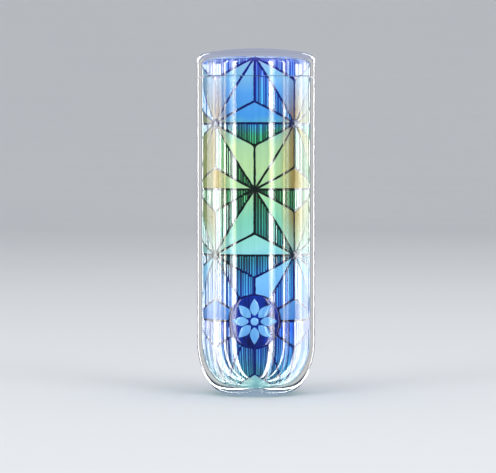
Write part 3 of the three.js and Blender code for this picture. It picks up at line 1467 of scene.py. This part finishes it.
    def build(self, top: float) -> list[bpy.types.Object]:
        """Makes the wall's pieces.

        Args:
            top: The height of the whole case, over which its colours run.

        Returns:
            The pieces, the backing first.
        """
        plain, shaded, strokes, knots = Surface(), Surface(), Surface(), Surface()
        for cell in self.lattice.cells():
            if cell.tone is Tone.PLAIN:
                self._pane(plain, cell, self.sizes.pane_depth, self.sizes.wander)
            else:
                self._pane(shaded, cell, self.sizes.shade_depth, 0)
                self._strokes(strokes, cell)
        self._knots(knots)
        ground, pane, shade, stroke = self._finishes(top)
        made = [
            turned(self.backing).piece(self.name + "_backing", ground),
            plain.piece(self.name + "_panes", pane, wall=self.outline),
            shaded.piece(self.name + "_hatch_ground", shade, wall=self.outline),
            strokes.piece(self.name + "_hatch_strokes", stroke, wall=self.outline),
        ]
        if knots.points:
            made.append(knots.piece(self.name + "_star_knots", ground))
        for piece in made:
            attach(piece, self.body)
        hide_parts(self.node)
        return made


# ---- The tubes ---------------------------------------------------


@dataclass(frozen=True)
class TubeSizes:
    """What the solids' boxes don't say about the tubes, in metres."""

    foot_radius: float = 6.5 * MM  # the flat under the foot
    round_height: float = 13 * MM  # how high the drawn-in end reaches
    casing_wall: float = 1.0 * MM
    casing_base: float = 1.6 * MM
    sleeve_wall: float = 0.9 * MM
    liner_wall: float = 0.9 * MM
    floor_height: float = 5.65 * MM  # the dark tube's floor
    floor_fillet: float = 2.8 * MM
    cup_corner: tuple[float, float] = (1.6 * MM, 1.5 * MM)  # across and down
    shoulder: tuple[float, float] = (2.2 * MM, 2.2 * MM)  # across and down
    crown_rise: float = 1.0 * MM
    crown_thickness: float = 2.1 * MM
    crown_steps: int = 24
    skirt: float = 0.05 * MM  # how far the pattern stays off a wall's ends
    lip: float = 0.1 * MM  # how far casing and cap reach towards each other past their solids
    melt: float = 0.25  # share of a wall that its rim's rounding takes
    sides: int = 192


class Frame:
    """Where the solids lie, and the outlines that several pieces share."""

    def __init__(self, sizes: TubeSizes) -> None:
        """Reads the solids' boxes.

        Args:
            sizes: The sizes that the boxes don't say.
        """
        self.sizes = sizes
        self.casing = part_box("outer_casing")
        self.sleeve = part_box("pattern_sleeve")
        self.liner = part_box("bore_liner")
        self.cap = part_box("cap_casing")
        self.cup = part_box("cap_pattern_cup")
        self.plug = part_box("cap_plug")
        self.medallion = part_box("rosette_medallion")
        self.radius = self.casing[1].x
        self.sleeve_radius = self.sleeve[1].x
        self.top = self.cap[1].z

    def foot_curve(self, radius: float, base: float) -> Array:
        """The drawn-in end of a tube: a flat, then a quarter ellipse up to the straight wall.

        Args:
            radius: The tube's radius.
            base: How high its flat lies.

        Returns:
            The outline's points, from the axis out and up.
        """
        inset = self.radius - radius
        foot = (self.sizes.foot_radius - inset / 2, base)
        curve = quarter_ellipse(foot, (radius, self.sizes.round_height), upright=False)
        return np.concatenate([[(0, base), (foot[0] * 0.5, base)], curve])

    def closed_tube(self, outer: Array, inner: Array, rim: float) -> Array:
        """A tube that is closed at its foot and has a melted rim.

        Args:
            outer: Its outer outline, from the axis up to where it is straight.
            inner: Its inner outline, likewise.
            rim: How high its rim lies.

        Returns:
            The outline's points: out along outer, round the rim and back along inner.
        """
        wide, narrow = outer[-1, 0], inner[-1, 0]
        melt = self.sizes.melt * (wide - narrow)
        lip = quarter_ellipse((wide, rim - melt), (wide - melt, rim), upright=True, steps=6)
        lip_in = quarter_ellipse((narrow + melt, rim), (narrow, rim - melt), upright=False, steps=6)
        return np.concatenate([outer, lip, lip_in, inner[::-1]])

    def sleeve_outline(self) -> Outline:
        """Works out the patterned tube's surface.

        Returns:
            Its outline, from the axis at the foot up to its rim.
        """
        curve = self.foot_curve(self.sleeve_radius, self.sleeve[0].z)
        rise = np.linspace(self.sizes.round_height, self.sleeve[1].z, 40)[1:]
        wall = np.stack([np.full_like(rise, self.sleeve_radius), rise], axis=1)
        return Outline(np.concatenate([curve, wall]), curve[-1], self.sizes.round_height)

    def cup_outline(self) -> Outline:
        """Works out the surface of the cap's patterned cup.

        Returns:
            Its outline, from its rim up to the axis.
        """
        across, down = self.sizes.cup_corner
        top = self.cup[1].z
        rise = np.linspace(self.cup[0].z, top - down, 6)
        wall = np.stack([np.full_like(rise, self.sleeve_radius), rise], axis=1)
        corner = quarter_ellipse(wall[-1], (self.sleeve_radius - across, top), upright=True)
        reach = np.linspace(corner[-1, 0], 0, 30)[1:]
        crown = np.stack([reach, np.full_like(reach, top)], axis=1)
        return Outline(np.concatenate([wall, corner[1:], crown]), wall[0], self.cup[0].z)


class TurnedGlass:
    """A plain turned piece of glass."""

    def __init__(self, frame: Frame) -> None:
        """Keeps the frame."""
        self.frame = frame


class ClearCase(TurnedGlass):
    """The clear outer tube of the case."""

    def build(self) -> bpy.types.Object:
        """Makes the tube.

        Returns:
            The tube.
        """
        frame, sizes = self.frame, self.frame.sizes
        outer = frame.foot_curve(frame.radius, frame.casing[0].z)
        inner = frame.foot_curve(frame.radius - sizes.casing_wall, frame.casing[0].z + sizes.casing_base)
        outline = frame.closed_tube(outer, inner, frame.casing[1].z + sizes.lip)
        tube = turned(outline, sizes.sides).piece("clear_casing", ClearGlass().made(), crease=60)
        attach(tube, "case")
        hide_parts("outer_casing")
        return tube


class ClearCap(TurnedGlass):
    """The clear dome of the cap: a straight side, a round shoulder and a low crown."""

    def build(self) -> bpy.types.Object:
        """Makes the dome.

        Returns:
            The dome.
        """
        frame, sizes = self.frame, self.frame.sizes
        low, top, radius = frame.cap[0].z - sizes.lip, frame.cap[1].z, frame.radius
        bore = radius - sizes.casing_wall
        ceiling = top - sizes.crown_thickness
        across, down = sizes.cup_corner
        melt = sizes.melt * sizes.casing_wall
        edge = (radius - sizes.shoulder[0], top - sizes.crown_rise)
        shoulder = quarter_ellipse((radius, edge[1] - sizes.shoulder[1]), edge, upright=True)
        share = np.linspace(1, 0, sizes.crown_steps)[1:]
        crown = np.stack([edge[0] * share, edge[1] + sizes.crown_rise * (1 - share**2)], axis=1)
        dome = rounded(np.concatenate([shoulder, crown]), closed=False, passes=2)
        recess = quarter_ellipse((bore - across, ceiling), (bore, ceiling - down), upright=False)
        foot_in = quarter_ellipse((bore, low + melt), (bore + melt, low), upright=True, steps=6)
        foot_out = quarter_ellipse((radius - melt, low), (radius, low + melt), upright=False, steps=6)
        flat = [(0, ceiling), (0.5 * bore, ceiling)]
        outline = np.concatenate([flat, recess, foot_in, foot_out, dome])
        glass = ClearGlass("clear_cap_glass").made()
        cap = turned(outline, sizes.sides).piece("clear_cap", glass, crease=60)
        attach(cap, "cap")
        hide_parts("cap_casing")
        return cap


class Liner(TurnedGlass):
    """The dark innermost tube, with its flat floor."""

    def build(self) -> bpy.types.Object:
        """Makes the tube.

        Returns:
            The tube.
        """
        frame, sizes = self.frame, self.frame.sizes
        radius = frame.liner[1].x
        bore = radius - sizes.liner_wall
        outer = frame.foot_curve(radius, frame.liner[0].z)
        floor = (bore - sizes.floor_fillet, sizes.floor_height)
        curve = quarter_ellipse(floor, (bore, sizes.round_height), upright=False)
        inner = np.concatenate([[(0, floor[1]), (floor[0] / 2, floor[1])], curve])
        outline = frame.closed_tube(outer, inner, frame.liner[1].z)
        tube = turned(outline).piece("bore_tube", DarkGlass().made(), crease=60)
        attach(tube, "case")
        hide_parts("bore_liner")
        return tube


# ---- The medallion -----------------------------------------------


@dataclass(frozen=True)
class RosetteSizes:
    """The medallion's sizes, in metres."""

    petals: int = 8
    petal_start: float = 1.35 * MM
    petal_end: float = 5.35 * MM
    petal_width: float = 1.05 * MM  # half of it
    button: float = 0.95 * MM
    disc_depth: float = 0.12 * MM
    rim_depth: float = 0.22 * MM
    back_depth: float = 0.4 * MM
    petal_rise: float = 0.11 * MM
    bury: float = 0.03 * MM  # how far petals are sunk in the disc
    flat_share: float = 0.9  # share of the disc's radius in which its face is level
    spokes: int = 128
    button_spokes: int = 48


class Medallion:
    """The blue disc at the front with its rosette of petals, curved with the tube."""

    def __init__(self, frame: Frame, outline: Outline, sizes: RosetteSizes) -> None:
        """Finds the disc's middle and radius from its solid.

        Args:
            frame: Where the solids lie.
            outline: The patterned tube's outline.
            sizes: The rosette's sizes.
        """
        self.outline = outline
        self.wall_radius = frame.sleeve_radius
        low, high = frame.medallion
        self.radius = (high.z - low.z) / 2
        self.centre = (high.z + low.z) / 2
        self.sizes = sizes

    def _lay(self, across: Array, up: Array, depth: Array | float) -> Array:
        """Lays points that are counted from the disc's middle on the tube."""
        return self.outline.place(across, self.centre + up, depth, self.wall_radius)

    def _disc(self) -> Surface:
        """The disc: its face dips to the rim by the square of the share past its level part.

        Returns:
            The disc, with a back of the same size.
        """
        sizes = self.sizes
        spokes = np.arange(sizes.spokes) * TURN / sizes.spokes
        share = np.concatenate([np.linspace(0, sizes.flat_share, 10), [0.95, 0.98, 1.0]])
        dip = np.clip((share - sizes.flat_share) / (1 - sizes.flat_share), 0, 1) ** 2
        face_depth = sizes.disc_depth + (sizes.rim_depth - sizes.disc_depth) * dip
        reach = self.radius * np.concatenate([share, share[::-1]])
        depth = np.concatenate([face_depth, np.full(len(share), sizes.back_depth)])
        across, up = reach[:, None] * np.sin(spokes), reach[:, None] * np.cos(spokes)
        surface = Surface()
        faces = grid_faces(len(reach), len(spokes), wrap_columns=True)
        surface.add(self._lay(across, up, depth[:, None]), faces)
        return surface

    def _petals(self) -> Surface:
        """The petals and the button.

        A petal's middle line runs outwards. At a share t along it, its half width is the petal width
        times sin(pi t^0.8), and at a share v of that to the side it stands up by the rise times
        (1 - v^2) sin(pi t)^0.5. The button is a mound of rings.

        Returns:
            All of them.
        """
        sizes = self.sizes
        surface = Surface()
        along, side = np.linspace(0, 1, 25)[:, None], np.linspace(-1, 1, 11)[None, :]
        reach = sizes.petal_start + (sizes.petal_end - sizes.petal_start) * along + 0 * side
        half = sizes.petal_width * np.sin(math.pi * along**0.8).clip(0) * side
        rise = sizes.petal_rise * (1 - side**2) * np.sqrt(np.sin(math.pi * along).clip(0))
        face = sizes.disc_depth - sizes.bury / 3 - rise
        floor = np.full_like(reach, sizes.disc_depth + sizes.bury)
        for petal in range(sizes.petals):
            angle = petal * TURN / sizes.petals
            across = reach * math.sin(angle) + half * math.cos(angle)
            up = reach * math.cos(angle) - half * math.sin(angle)
            surface.add_slab(self._lay(across, up, face), self._lay(across, up, floor))
        spokes = np.arange(sizes.button_spokes) * TURN / sizes.button_spokes
        share = np.array([0, 0.4, 0.75, 0.93, 1, 0])
        depth = sizes.disc_depth - sizes.petal_rise * np.array([1, 0.85, 0.45, 0.1, -0.3, -0.3])
        ring = share[:, None] * sizes.button
        points = self._lay(ring * np.sin(spokes), ring * np.cos(spokes), depth[:, None])
        surface.add(points, grid_faces(len(share), len(spokes), wrap_columns=True))
        return surface

    def build(self) -> list[bpy.types.Object]:
        """Makes the disc and its rosette.

        Returns:
            The two.
        """
        deep = InlayGlass("medallion_blue", paint(5, 8, 62), paint(20, 62, 190)).made()
        light = InlayGlass("petal_blue", paint(95, 165, 235), paint(150, 210, 252)).made()
        made = [
            self._disc().piece("medallion_disc", deep, crease=50),
            self._petals().piece("medallion_rosette", light, crease=50),
        ]
        for piece in made:
            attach(piece, "case")
        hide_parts("rosette_medallion")
        return made


# ---- The stopper and its seals -----------------------------------


@dataclass(frozen=True)
class StopperSizes:
    """What the stopper's and the seals' boxes don't say, in metres."""

    plug_radius: float = 10.55 * MM
    chamfer: float = 0.8 * MM
    groove_radius: float = 9.3 * MM
    groove_margin: float = 0.2 * MM  # room above and below a seal
    seam: float = 0.03  # a seal's moulding seam, as a share of its section
    seam_sharpness: int = 40
    section_steps: int = 28
    sides: int = 128


class Stopper:
    """The ground stopper with two grooves, and the rubber ring in each."""

    SEALS = ("upper_seal_ring", "lower_seal_ring")

    def __init__(self, frame: Frame, sizes: StopperSizes) -> None:
        """Finds the seals.

        Args:
            frame: Where the solids lie.
            sizes: The sizes that their boxes don't say.
        """
        self.frame = frame
        self.sizes = sizes
        self.seals = {node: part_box(node) for node in self.SEALS}

    def _plug(self) -> bpy.types.Object:
        """Makes the stopper: a disc above, a plug below, with eased corners and square grooves.

        Returns:
            The stopper.
        """
        sizes, frame = self.sizes, self.frame
        low, high = frame.plug
        across, down = frame.sizes.cup_corner
        reach = high.x
        shelf = frame.cap[0].z
        corners = [
            (0, low.z),
            (reach / 2, low.z),
            (sizes.plug_radius - sizes.chamfer, low.z),
            (sizes.plug_radius, low.z + sizes.chamfer / 2),
            (sizes.plug_radius, low.z + sizes.chamfer),
        ]
        plug = rounded(corners, closed=False)
        grooves = []
        for box_low, box_high in sorted(self.seals.values(), key=lambda box: box[0].z):
            under, over = box_low.z - sizes.groove_margin, box_high.z + sizes.groove_margin
            grooves += [(sizes.plug_radius, under), (sizes.groove_radius, under)]
            grooves += [(sizes.groove_radius, over), (sizes.plug_radius, over)]
        corners = [
            (sizes.plug_radius, shelf),
            (reach, shelf),
            (reach, high.z - down),
            (reach - across, high.z),
            (reach / 2, high.z),
            (0, high.z),
        ]
        outline = np.concatenate([plug, grooves, rounded(corners, closed=False)])
        made = turned(outline, sizes.sides).piece("ground_stopper", GroundGlass().made(), crease=40)
        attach(made, "cap")
        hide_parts("cap_plug")
        return made

    def _seal(self, node: str, material: bpy.types.Material) -> bpy.types.Object:
        """Makes a ring of round section with a faint moulding seam.

        The section's radius at angle a is its full one times 1 + seam times cos(a) to the power of the
        seam's sharpness.

        Args:
            node: The solid that it stands for.
            material: Its finish.

        Returns:
            The ring.
        """
        sizes = self.sizes
        low, high = self.seals[node]
        section = (high.z - low.z) / 2
        angle = np.arange(sizes.section_steps) * TURN / sizes.section_steps
        radius = section * (1 + sizes.seam * np.cos(angle) ** sizes.seam_sharpness)
        across = high.x - section + radius * np.cos(angle)
        outline = np.stack([across, (low.z + high.z) / 2 + radius * np.sin(angle)], axis=1)
        made = turned(outline, sizes.sides).piece(node.removesuffix("_ring"), material, crease=60)
        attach(made, "seals")
        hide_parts(node)
        return made

    def build(self) -> list[bpy.types.Object]:
        """Makes the stopper and its two seals and returns them."""
        rubber = SealRubber().made()
        return [self._plug(), *(self._seal(node, rubber) for node in self.SEALS)]


# ---- The parchment -----------------------------------------------


@dataclass(frozen=True)
class ScrollSizes:
    """The rolled parchment's and its strip's sizes, in metres."""

    turns: float = 2.1
    pitch: float = 0.65 * MM  # from one turn to the next
    thickness: float = 0.22 * MM
    wave: float = 0.05 * MM
    deckle: float = 0.12 * MM  # how far the top and bottom edges wander
    strip_thickness: float = 0.12 * MM
    strip_turns: float = 1.12
    strip_start: float = 0.62  # in turns from +X
    strip_dome: float = 0.02 * MM  # its middle above its edges


class Scroll:
    """The rolled parchment and the leather strip that keeps it rolled."""

    def __init__(self, sizes: ScrollSizes) -> None:
        """Finds the roll's axis, radius and height from its solids.

        Args:
            sizes: The sizes that they don't say.
        """
        self.sizes = sizes
        self.low, self.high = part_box("parchment_scroll")
        self.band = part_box("scroll_band")
        self.centre = (self.band[0] + self.band[1]) / 2
        self.radius = self.high.x - self.centre.x

    def _sheet(self) -> Surface:
        """The parchment, rolled round from +X.

        At t turns from the outer end and a share s of its height, its radius is the roll's less t times
        the pitch, less the wave times sin(9 s + 5 t) sin(pi s) t / turns where that is above 0. Its edges
        wander by the deckle times 0.5 + 0.3 sin 13 t + 0.2 sin(31 t + 1).

        Returns:
            The sheet.
        """
        sizes = self.sizes
        turn = np.linspace(0, sizes.turns, 230)[None, :]
        share = np.linspace(0, 1, 40)[:, None]
        wave = sizes.wave * np.sin(9 * share + 5 * turn) * np.sin(math.pi * share) * (turn / sizes.turns)
        radius = self.radius - sizes.pitch * turn - wave.clip(0)
        ragged = sizes.deckle * (0.5 + 0.3 * np.sin(13 * turn) + 0.2 * np.sin(31 * turn + 1))
        height = self.low.z + ragged + (self.high.z - self.low.z - 2 * ragged) * share
        face = self._round(radius, turn, height)
        back = self._round(radius - sizes.thickness, turn, height)
        surface = Surface()
        surface.add_slab(face, back)
        return surface

    def _round(self, radius: Array, turn: Array, height: Array) -> Array:
        """Turns points about the roll's own axis.

        Args:
            radius: How far from it they lie.
            turn: How many turns round from +X.
            height: How high.

        Returns:
            The points, with x, y, z along the last axis.
        """
        angle = TURN * turn
        across = self.centre.x + radius * np.cos(angle)
        deep = self.centre.y + radius * np.sin(angle)
        return np.stack(np.broadcast_arrays(across, deep, height), axis=-1)

    def _strip(self) -> Surface:
        """The strip: wound once round and a little over its own start, with worn edges.

        Where it climbs over its start its lift goes smoothly from 0 to 1. At a share s of its height it
        is domed by 1 - (2 s - 1)^6, and its edges are worn by how near s is to 0 or 1.

        Returns:
            The strip.
        """
        sizes = self.sizes
        low, high = self.band
        outer = high.x - self.centre.x
        inner = outer - 2.3 * sizes.strip_thickness
        turn = np.linspace(0, sizes.strip_turns, 150)[None, :]
        share = np.concatenate([[0, 0.03], np.linspace(0.08, 0.92, 9), [0.97, 1]])[:, None]
        lift = np.clip((turn - 0.9) / 0.12, 0, 1)
        lift = lift * lift * (3 - 2 * lift)
        dome = sizes.strip_dome * (1 - (2 * share - 1) ** 6)
        radius = inner + sizes.strip_thickness * (1 + 1.12 * lift) + dome - sizes.strip_dome
        height = low.z + (high.z - low.z) * share
        angle = turn + sizes.strip_start
        face = self._round(radius, angle, height)
        back = self._round(radius - sizes.strip_thickness, angle, height)
        worn = np.broadcast_to(np.abs(2 * share - 1), face.shape[:2])
        surface = Surface()
        surface.add_slab(face, back, tone=np.stack([worn, worn]))
        return surface

    def build(self) -> list[bpy.types.Object]:
        """Makes the parchment and its strip.

        Returns:
            The two.
        """
        sheet = self._sheet().piece("rolled_parchment", Parchment().made(), crease=50)
        strip = self._strip().piece("leather_strip", CalfStrip().made(), crease=50)
        dressed = ((sheet, "parchment_scroll", "parchment"), (strip, "scroll_band", "band_leather"))
        for piece, node, slot in dressed:
            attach(piece, "scroll")
            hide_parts(node)
        return [sheet, strip]


# ---- The studio --------------------------------------------------


@dataclass(frozen=True)
class Strip:
    """A tall curved light panel, which only glossy surfaces mirror.

    Attributes:
        left: The angle of its left edge, in degrees from the camera's side, negative to the left.
        right: The angle of its right edge.
        glow: How bright its face is, where 1 shows as white.
        high: How far up it reaches, in degrees of elevation.
        low: How far down.
        colour: The colour of its light.
    """

    left: float
    right: float
    glow: float
    high: float = 36
    low: float = -86
    colour: Colour = (1.0, 0.99, 0.97)


@dataclass(frozen=True)
class Lamp:
    """A square lamp that no glossy surface mirrors.

    Attributes:
        name: Its name.
        place: Where it hangs.
        size: Its side.
        glow: How bright its face is, where 1 shows as white.
    """

    name: str
    place: tuple[float, float, float]
    size: float
    glow: float


@dataclass(frozen=True)
class StudioSizes:
    """Where the camera, lamps, panels and floor are, in metres and degrees."""

    camera_distance: float = 0.593
    camera_height: float = 0.055
    camera_turn: float = 1.5  # to the right of the front
    camera_pitch: float = 1.7  # down
    aim_left: float = 0.0019  # how far left of the axis it looks
    focal: float = 181.4516  # in millimetres, for a sensor 36 mm wide
    lamp_aim: float = 0.04
    panel_distance: float = 0.5  # radius of the ball on which the panels lie
    panel_height: float = 0.045  # height of its middle
    fill_distance: float = 0.52  # radius of the dim ball behind them
    fill_rise: tuple[float, float] = (0.18, 0.34)  # heights between which that ball brightens
    sky: Colour = (0.93, 0.96, 1.0)
    sky_glow: float = 0.8
    floor_radius: float = 1.4
    wall_round: float = 1.1  # radius at which the floor sweeps up


class Studio:
    """A plain pale sweep all round, soft light from above, light panels for the gloss, and the camera."""

    WARM = (1.0, 0.93, 0.76)
    LAVENDER = (0.74, 0.78, 1.0)
    STRIPS = (
        Strip(-138, -122, 0.6),
        Strip(-102, -79, 7.0, high=9),
        Strip(-71.5, -66.5, 8.5, colour=WARM),
        Strip(-50, -42, 9.0),
        Strip(27, 35.5, 9.0),
        Strip(59, 63.5, 8.0, colour=WARM),
        Strip(90, 113, 7.0, high=9),
        Strip(122, 138, 0.6),
        Strip(152, 158, 7.0),
        Strip(168, 192, 0.5, colour=LAVENDER),
        Strip(202, 208, 7.0),
    )
    FILL = (0.14, 0.55)
    LAMPS = (
        Lamp("overhead_lamp", (0.05, -0.2, 1.0), 0.8, 2.0),
        Lamp("left_lamp", (-0.9, -0.9, 0.7), 0.7, 3.4),
        Lamp("right_lamp", (0.9, -0.9, 0.7), 0.7, 3.4),
    )

    def __init__(self, sizes: StudioSizes) -> None:
        """Keeps the sizes."""
        self.sizes = sizes

    def _hang(self, lamp: Lamp) -> None:
        """Hangs a lamp that points at the case. Its power is pi times its glow and its area.

        Args:
            lamp: The lamp.
        """
        light = bpy.data.lights.new(lamp.name, "AREA")
        light.shape = "SQUARE"
        light.size = lamp.size
        light.energy = lamp.glow * math.pi * lamp.size * lamp.size
        place = Vector(lamp.place)
        hung = bpy.data.objects.new(lamp.name, light)
        hung.location = place
        aim = Vector((0, 0, self.sizes.lamp_aim))
        hung.rotation_euler = (aim - place).to_track_quat("-Z", "Y").to_euler()
        hung.visible_camera = False
        hung.visible_glossy = False
        bpy.context.scene.collection.objects.link(hung)

    def _panel(self, number: int, strip: Strip) -> None:
        """A panel on a ball round the case: even steps of angle across it and of elevation up it.

        The point at angle a and elevation e is d (cos e sin a, -cos e cos a, sin e) from the ball's
        middle.

        Args:
            number: The panel's number.
            strip: The panel.
        """
        sizes = self.sizes
        angle = np.radians(np.linspace(strip.left, strip.right, 12) + sizes.camera_turn)
        rise = np.radians(np.linspace(strip.low, strip.high, 48))[:, None]
        flat, up = np.cos(rise) * sizes.panel_distance, np.sin(rise) * sizes.panel_distance
        height = up + sizes.panel_height + 0 * angle
        points = np.stack([flat * np.sin(angle), -flat * np.cos(angle), height], axis=-1)
        surface = Surface()
        surface.add(points, grid_faces(*points.shape[:2]))
        glow = Finish(f"panel_{number}_glow")
        cloud = glow.between(glow.noise((4, 4, 4)), 0, 1, 0.92 * strip.glow, 1.08 * strip.glow)
        self._shine(surface, f"light_panel_{number}", glow, strip.colour, cloud)

    def _fill(self) -> None:
        """A dim ball of light behind the panels, brighter and lavender above, which fills the gloss."""
        sizes = self.sizes
        rise = np.linspace(-TURN / 4, TURN / 4, 40)
        ball = np.stack([np.cos(rise), np.sin(rise)], axis=1) * sizes.fill_distance
        surface = turned(ball + (0, sizes.panel_height), 48)
        glow = Finish("fill_glow")
        lift = glow.between(glow.height(), *sizes.fill_rise, *self.FILL)
        self._shine(surface, "light_fill", glow, self.LAVENDER, lift)

    @staticmethod
    def _shine(surface: Surface, name: str, glow: Finish, colour: Colour, strength: Socket) -> None:
        """Makes a glowing piece that only glossy surfaces see.

        Args:
            surface: Its shape.
            name: Its name.
            glow: Its finish under construction.
            colour: The colour of its light.
            strength: How bright it is.
        """
        light = glow.node("Emission", {"Color": (*colour, 1), "Strength": strength})
        material = glow.done(light.outputs[0])
        material.cycles.emission_sampling = "NONE"
        panel = surface.piece(name, material)
        panel.visible_camera = False
        panel.visible_diffuse = False
        panel.visible_transmission = False
        panel.visible_shadow = False

    def _floor(self) -> None:
        """The floor, which sweeps up to a wall all round it."""
        sizes = self.sizes
        flat = np.stack([np.linspace(0, sizes.floor_radius, 12), np.zeros(12)], axis=1)
        reach = sizes.floor_radius + sizes.wall_round
        sweep = quarter_ellipse((sizes.floor_radius, 0), (reach, sizes.wall_round), upright=False, steps=40)
        outline = np.concatenate([flat, sweep[1:]])
        floor = turned(outline, 120, closed=False).piece("studio_floor", StudioFloor().made(), crease=60)
        floor.visible_glossy = False

    def _world(self) -> None:
        """Soft, even light from all round, which the gloss doesn't mirror."""
        world = bpy.data.worlds.new("studio_world")
        world.use_nodes = True
        sky = world.node_tree.nodes["Background"]
        sky.inputs["Color"].default_value = (*self.sizes.sky, 1)
        sky.inputs["Strength"].default_value = self.sizes.sky_glow
        world.cycles_visibility.glossy = False
        bpy.context.scene.world = world

    def _camera(self) -> None:
        """The camera, a little right of the front, looking slightly down."""
        sizes = self.sizes
        turn = math.radians(sizes.camera_turn)
        ahead = Vector((-math.sin(turn), math.cos(turn), 0))
        right = Vector((math.cos(turn), math.sin(turn), 0))
        place = -ahead * sizes.camera_distance + Vector((0, 0, sizes.camera_height))
        drop = sizes.camera_distance * math.tan(math.radians(sizes.camera_pitch))
        aim = Vector((0, 0, sizes.camera_height - drop)) - right * sizes.aim_left
        lens = bpy.data.cameras.new("camera")
        lens.sensor_width = 36
        lens.lens = sizes.focal
        lens.clip_start = 0.01
        lens.clip_end = 20
        camera = bpy.data.objects.new("camera", lens)
        camera.location = place
        camera.rotation_euler = (aim - place).to_track_quat("-Z", "Y").to_euler()
        bpy.context.scene.collection.objects.link(camera)
        bpy.context.scene.camera = camera

    def build(self) -> None:
        """Sets up the camera, the world, the lamps, the panels and the floor."""
        self._camera()
        self._world()
        for lamp in self.LAMPS:
            self._hang(lamp)
        for number, strip in enumerate(self.STRIPS):
            self._panel(number, strip)
        self._fill()
        self._floor()
        bpy.context.scene.view_settings.view_transform = "Standard"
        bpy.context.scene.cycles.transparent_max_bounces = 24


# ---- The whole ---------------------------------------------------


@dataclass(frozen=True)
class LatticeSizes:
    """How the rows of stars are spaced, in metres."""

    pitch: float = 15.35 * MM
    foot_row: float = -0.8 * MM  # how far up the outline the lowest whole row lies
    rows_over_medallion: int = 4
    medallion_gap: float = 0.2 * MM  # between the medallion and the pattern


class PatternedTubes:
    """The patterned tube and the patterned cup, which share one lattice across the seam."""

    def __init__(self, frame: Frame, sizes: LatticeSizes, seed: int) -> None:
        """Lays out the lattice so that one star is under the medallion and the end rows meet at the axis.

        Args:
            frame: Where the solids lie.
            sizes: How the rows are spaced.
            seed: Starts the hand-drawn unevenness.
        """
        self.frame = frame
        self.sleeve_outline = frame.sleeve_outline()
        self.cup_outline = frame.cup_outline()
        low, high = frame.medallion
        centre = (low.z + high.z) / 2
        over = [centre + sizes.pitch * step for step in range(sizes.rows_over_medallion + 1)]
        rows = (self.sleeve_outline.low, sizes.foot_row, *over, self.cup_outline.high)
        self.lattice = Lattice(frame.sleeve_radius, rows)
        self.hole = Circle(0, centre, (high.z - low.z) / 2 + sizes.medallion_gap)
        self.rng = np.random.default_rng(seed)

    @staticmethod
    def _backing(outer: Outline, wall: float) -> Array:
        """Draws a wall's backing: its face a little under the pattern, and its back.

        Args:
            outer: The outline of the wall's surface.
            wall: The wall's thickness.

        Returns:
            The backing's closed outline.
        """
        depth = PatternSizes().backing_depth
        face = outer.points - depth * outer.outward
        back = outer.points - wall * outer.outward
        face[:, 0] = face[:, 0].clip(0)
        back[:, 0] = back[:, 0].clip(0)
        return np.concatenate([face, back[::-1]])

    def walls(self) -> list[PatternedWall]:
        """Lays out the two patterned walls.

        Returns:
            The case's and the cap's.
        """
        frame, sizes = self.frame, self.frame.sizes
        down = sizes.cup_corner[1]
        sleeve = PatternedWall(
            name="sleeve", body="case", node="pattern_sleeve", outline=self.sleeve_outline,
            backing=self._backing(self.sleeve_outline, sizes.sleeve_wall),
            low=self.sleeve_outline.low + sizes.skirt, high=self.sleeve_outline.high - sizes.skirt,
            straight=(sizes.round_height, self.sleeve_outline.high),
            lattice=self.lattice, hole=self.hole, rng=self.rng,
        )
        cup = PatternedWall(
            name="cup", body="cap", node="cap_pattern_cup", outline=self.cup_outline,
            backing=self._backing(self.cup_outline, sizes.sleeve_wall),
            low=self.cup_outline.low + sizes.skirt, high=self.cup_outline.high - sizes.skirt,
            straight=(self.cup_outline.low, frame.cup[1].z - down),
            lattice=self.lattice, hole=self.hole, rng=self.rng,
        )
        return [sleeve, cup]

    def build(self) -> list[bpy.types.Object]:
        """Makes both walls' pieces and returns them."""
        return [piece for wall in self.walls() for piece in wall.build(self.frame.top)]


def report(pieces: Sequence[bpy.types.Object]) -> None:
    """Logs each piece with its count of faces.

    Args:
        pieces: The pieces.
    """
    for piece in pieces:
        LOG.info("%s: %d faces", piece.name, len(piece.data.polygons))


def main() -> None:
    """Builds the studio and every piece of the case, in order."""
    logging.basicConfig(level=logging.INFO, format="%(name)s: %(message)s")
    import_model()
    Studio(StudioSizes()).build()
    frame = Frame(TubeSizes())
    tubes = PatternedTubes(frame, LatticeSizes(), seed=7)
    report(tubes.build())
    report(Medallion(frame, tubes.sleeve_outline, RosetteSizes()).build())
    report([Liner(frame).build(), ClearCase(frame).build(), ClearCap(frame).build()])
    report(Stopper(frame, StopperSizes()).build())
    report(Scroll(ScrollSizes()).build())


if __name__ == "__main__":
    main()
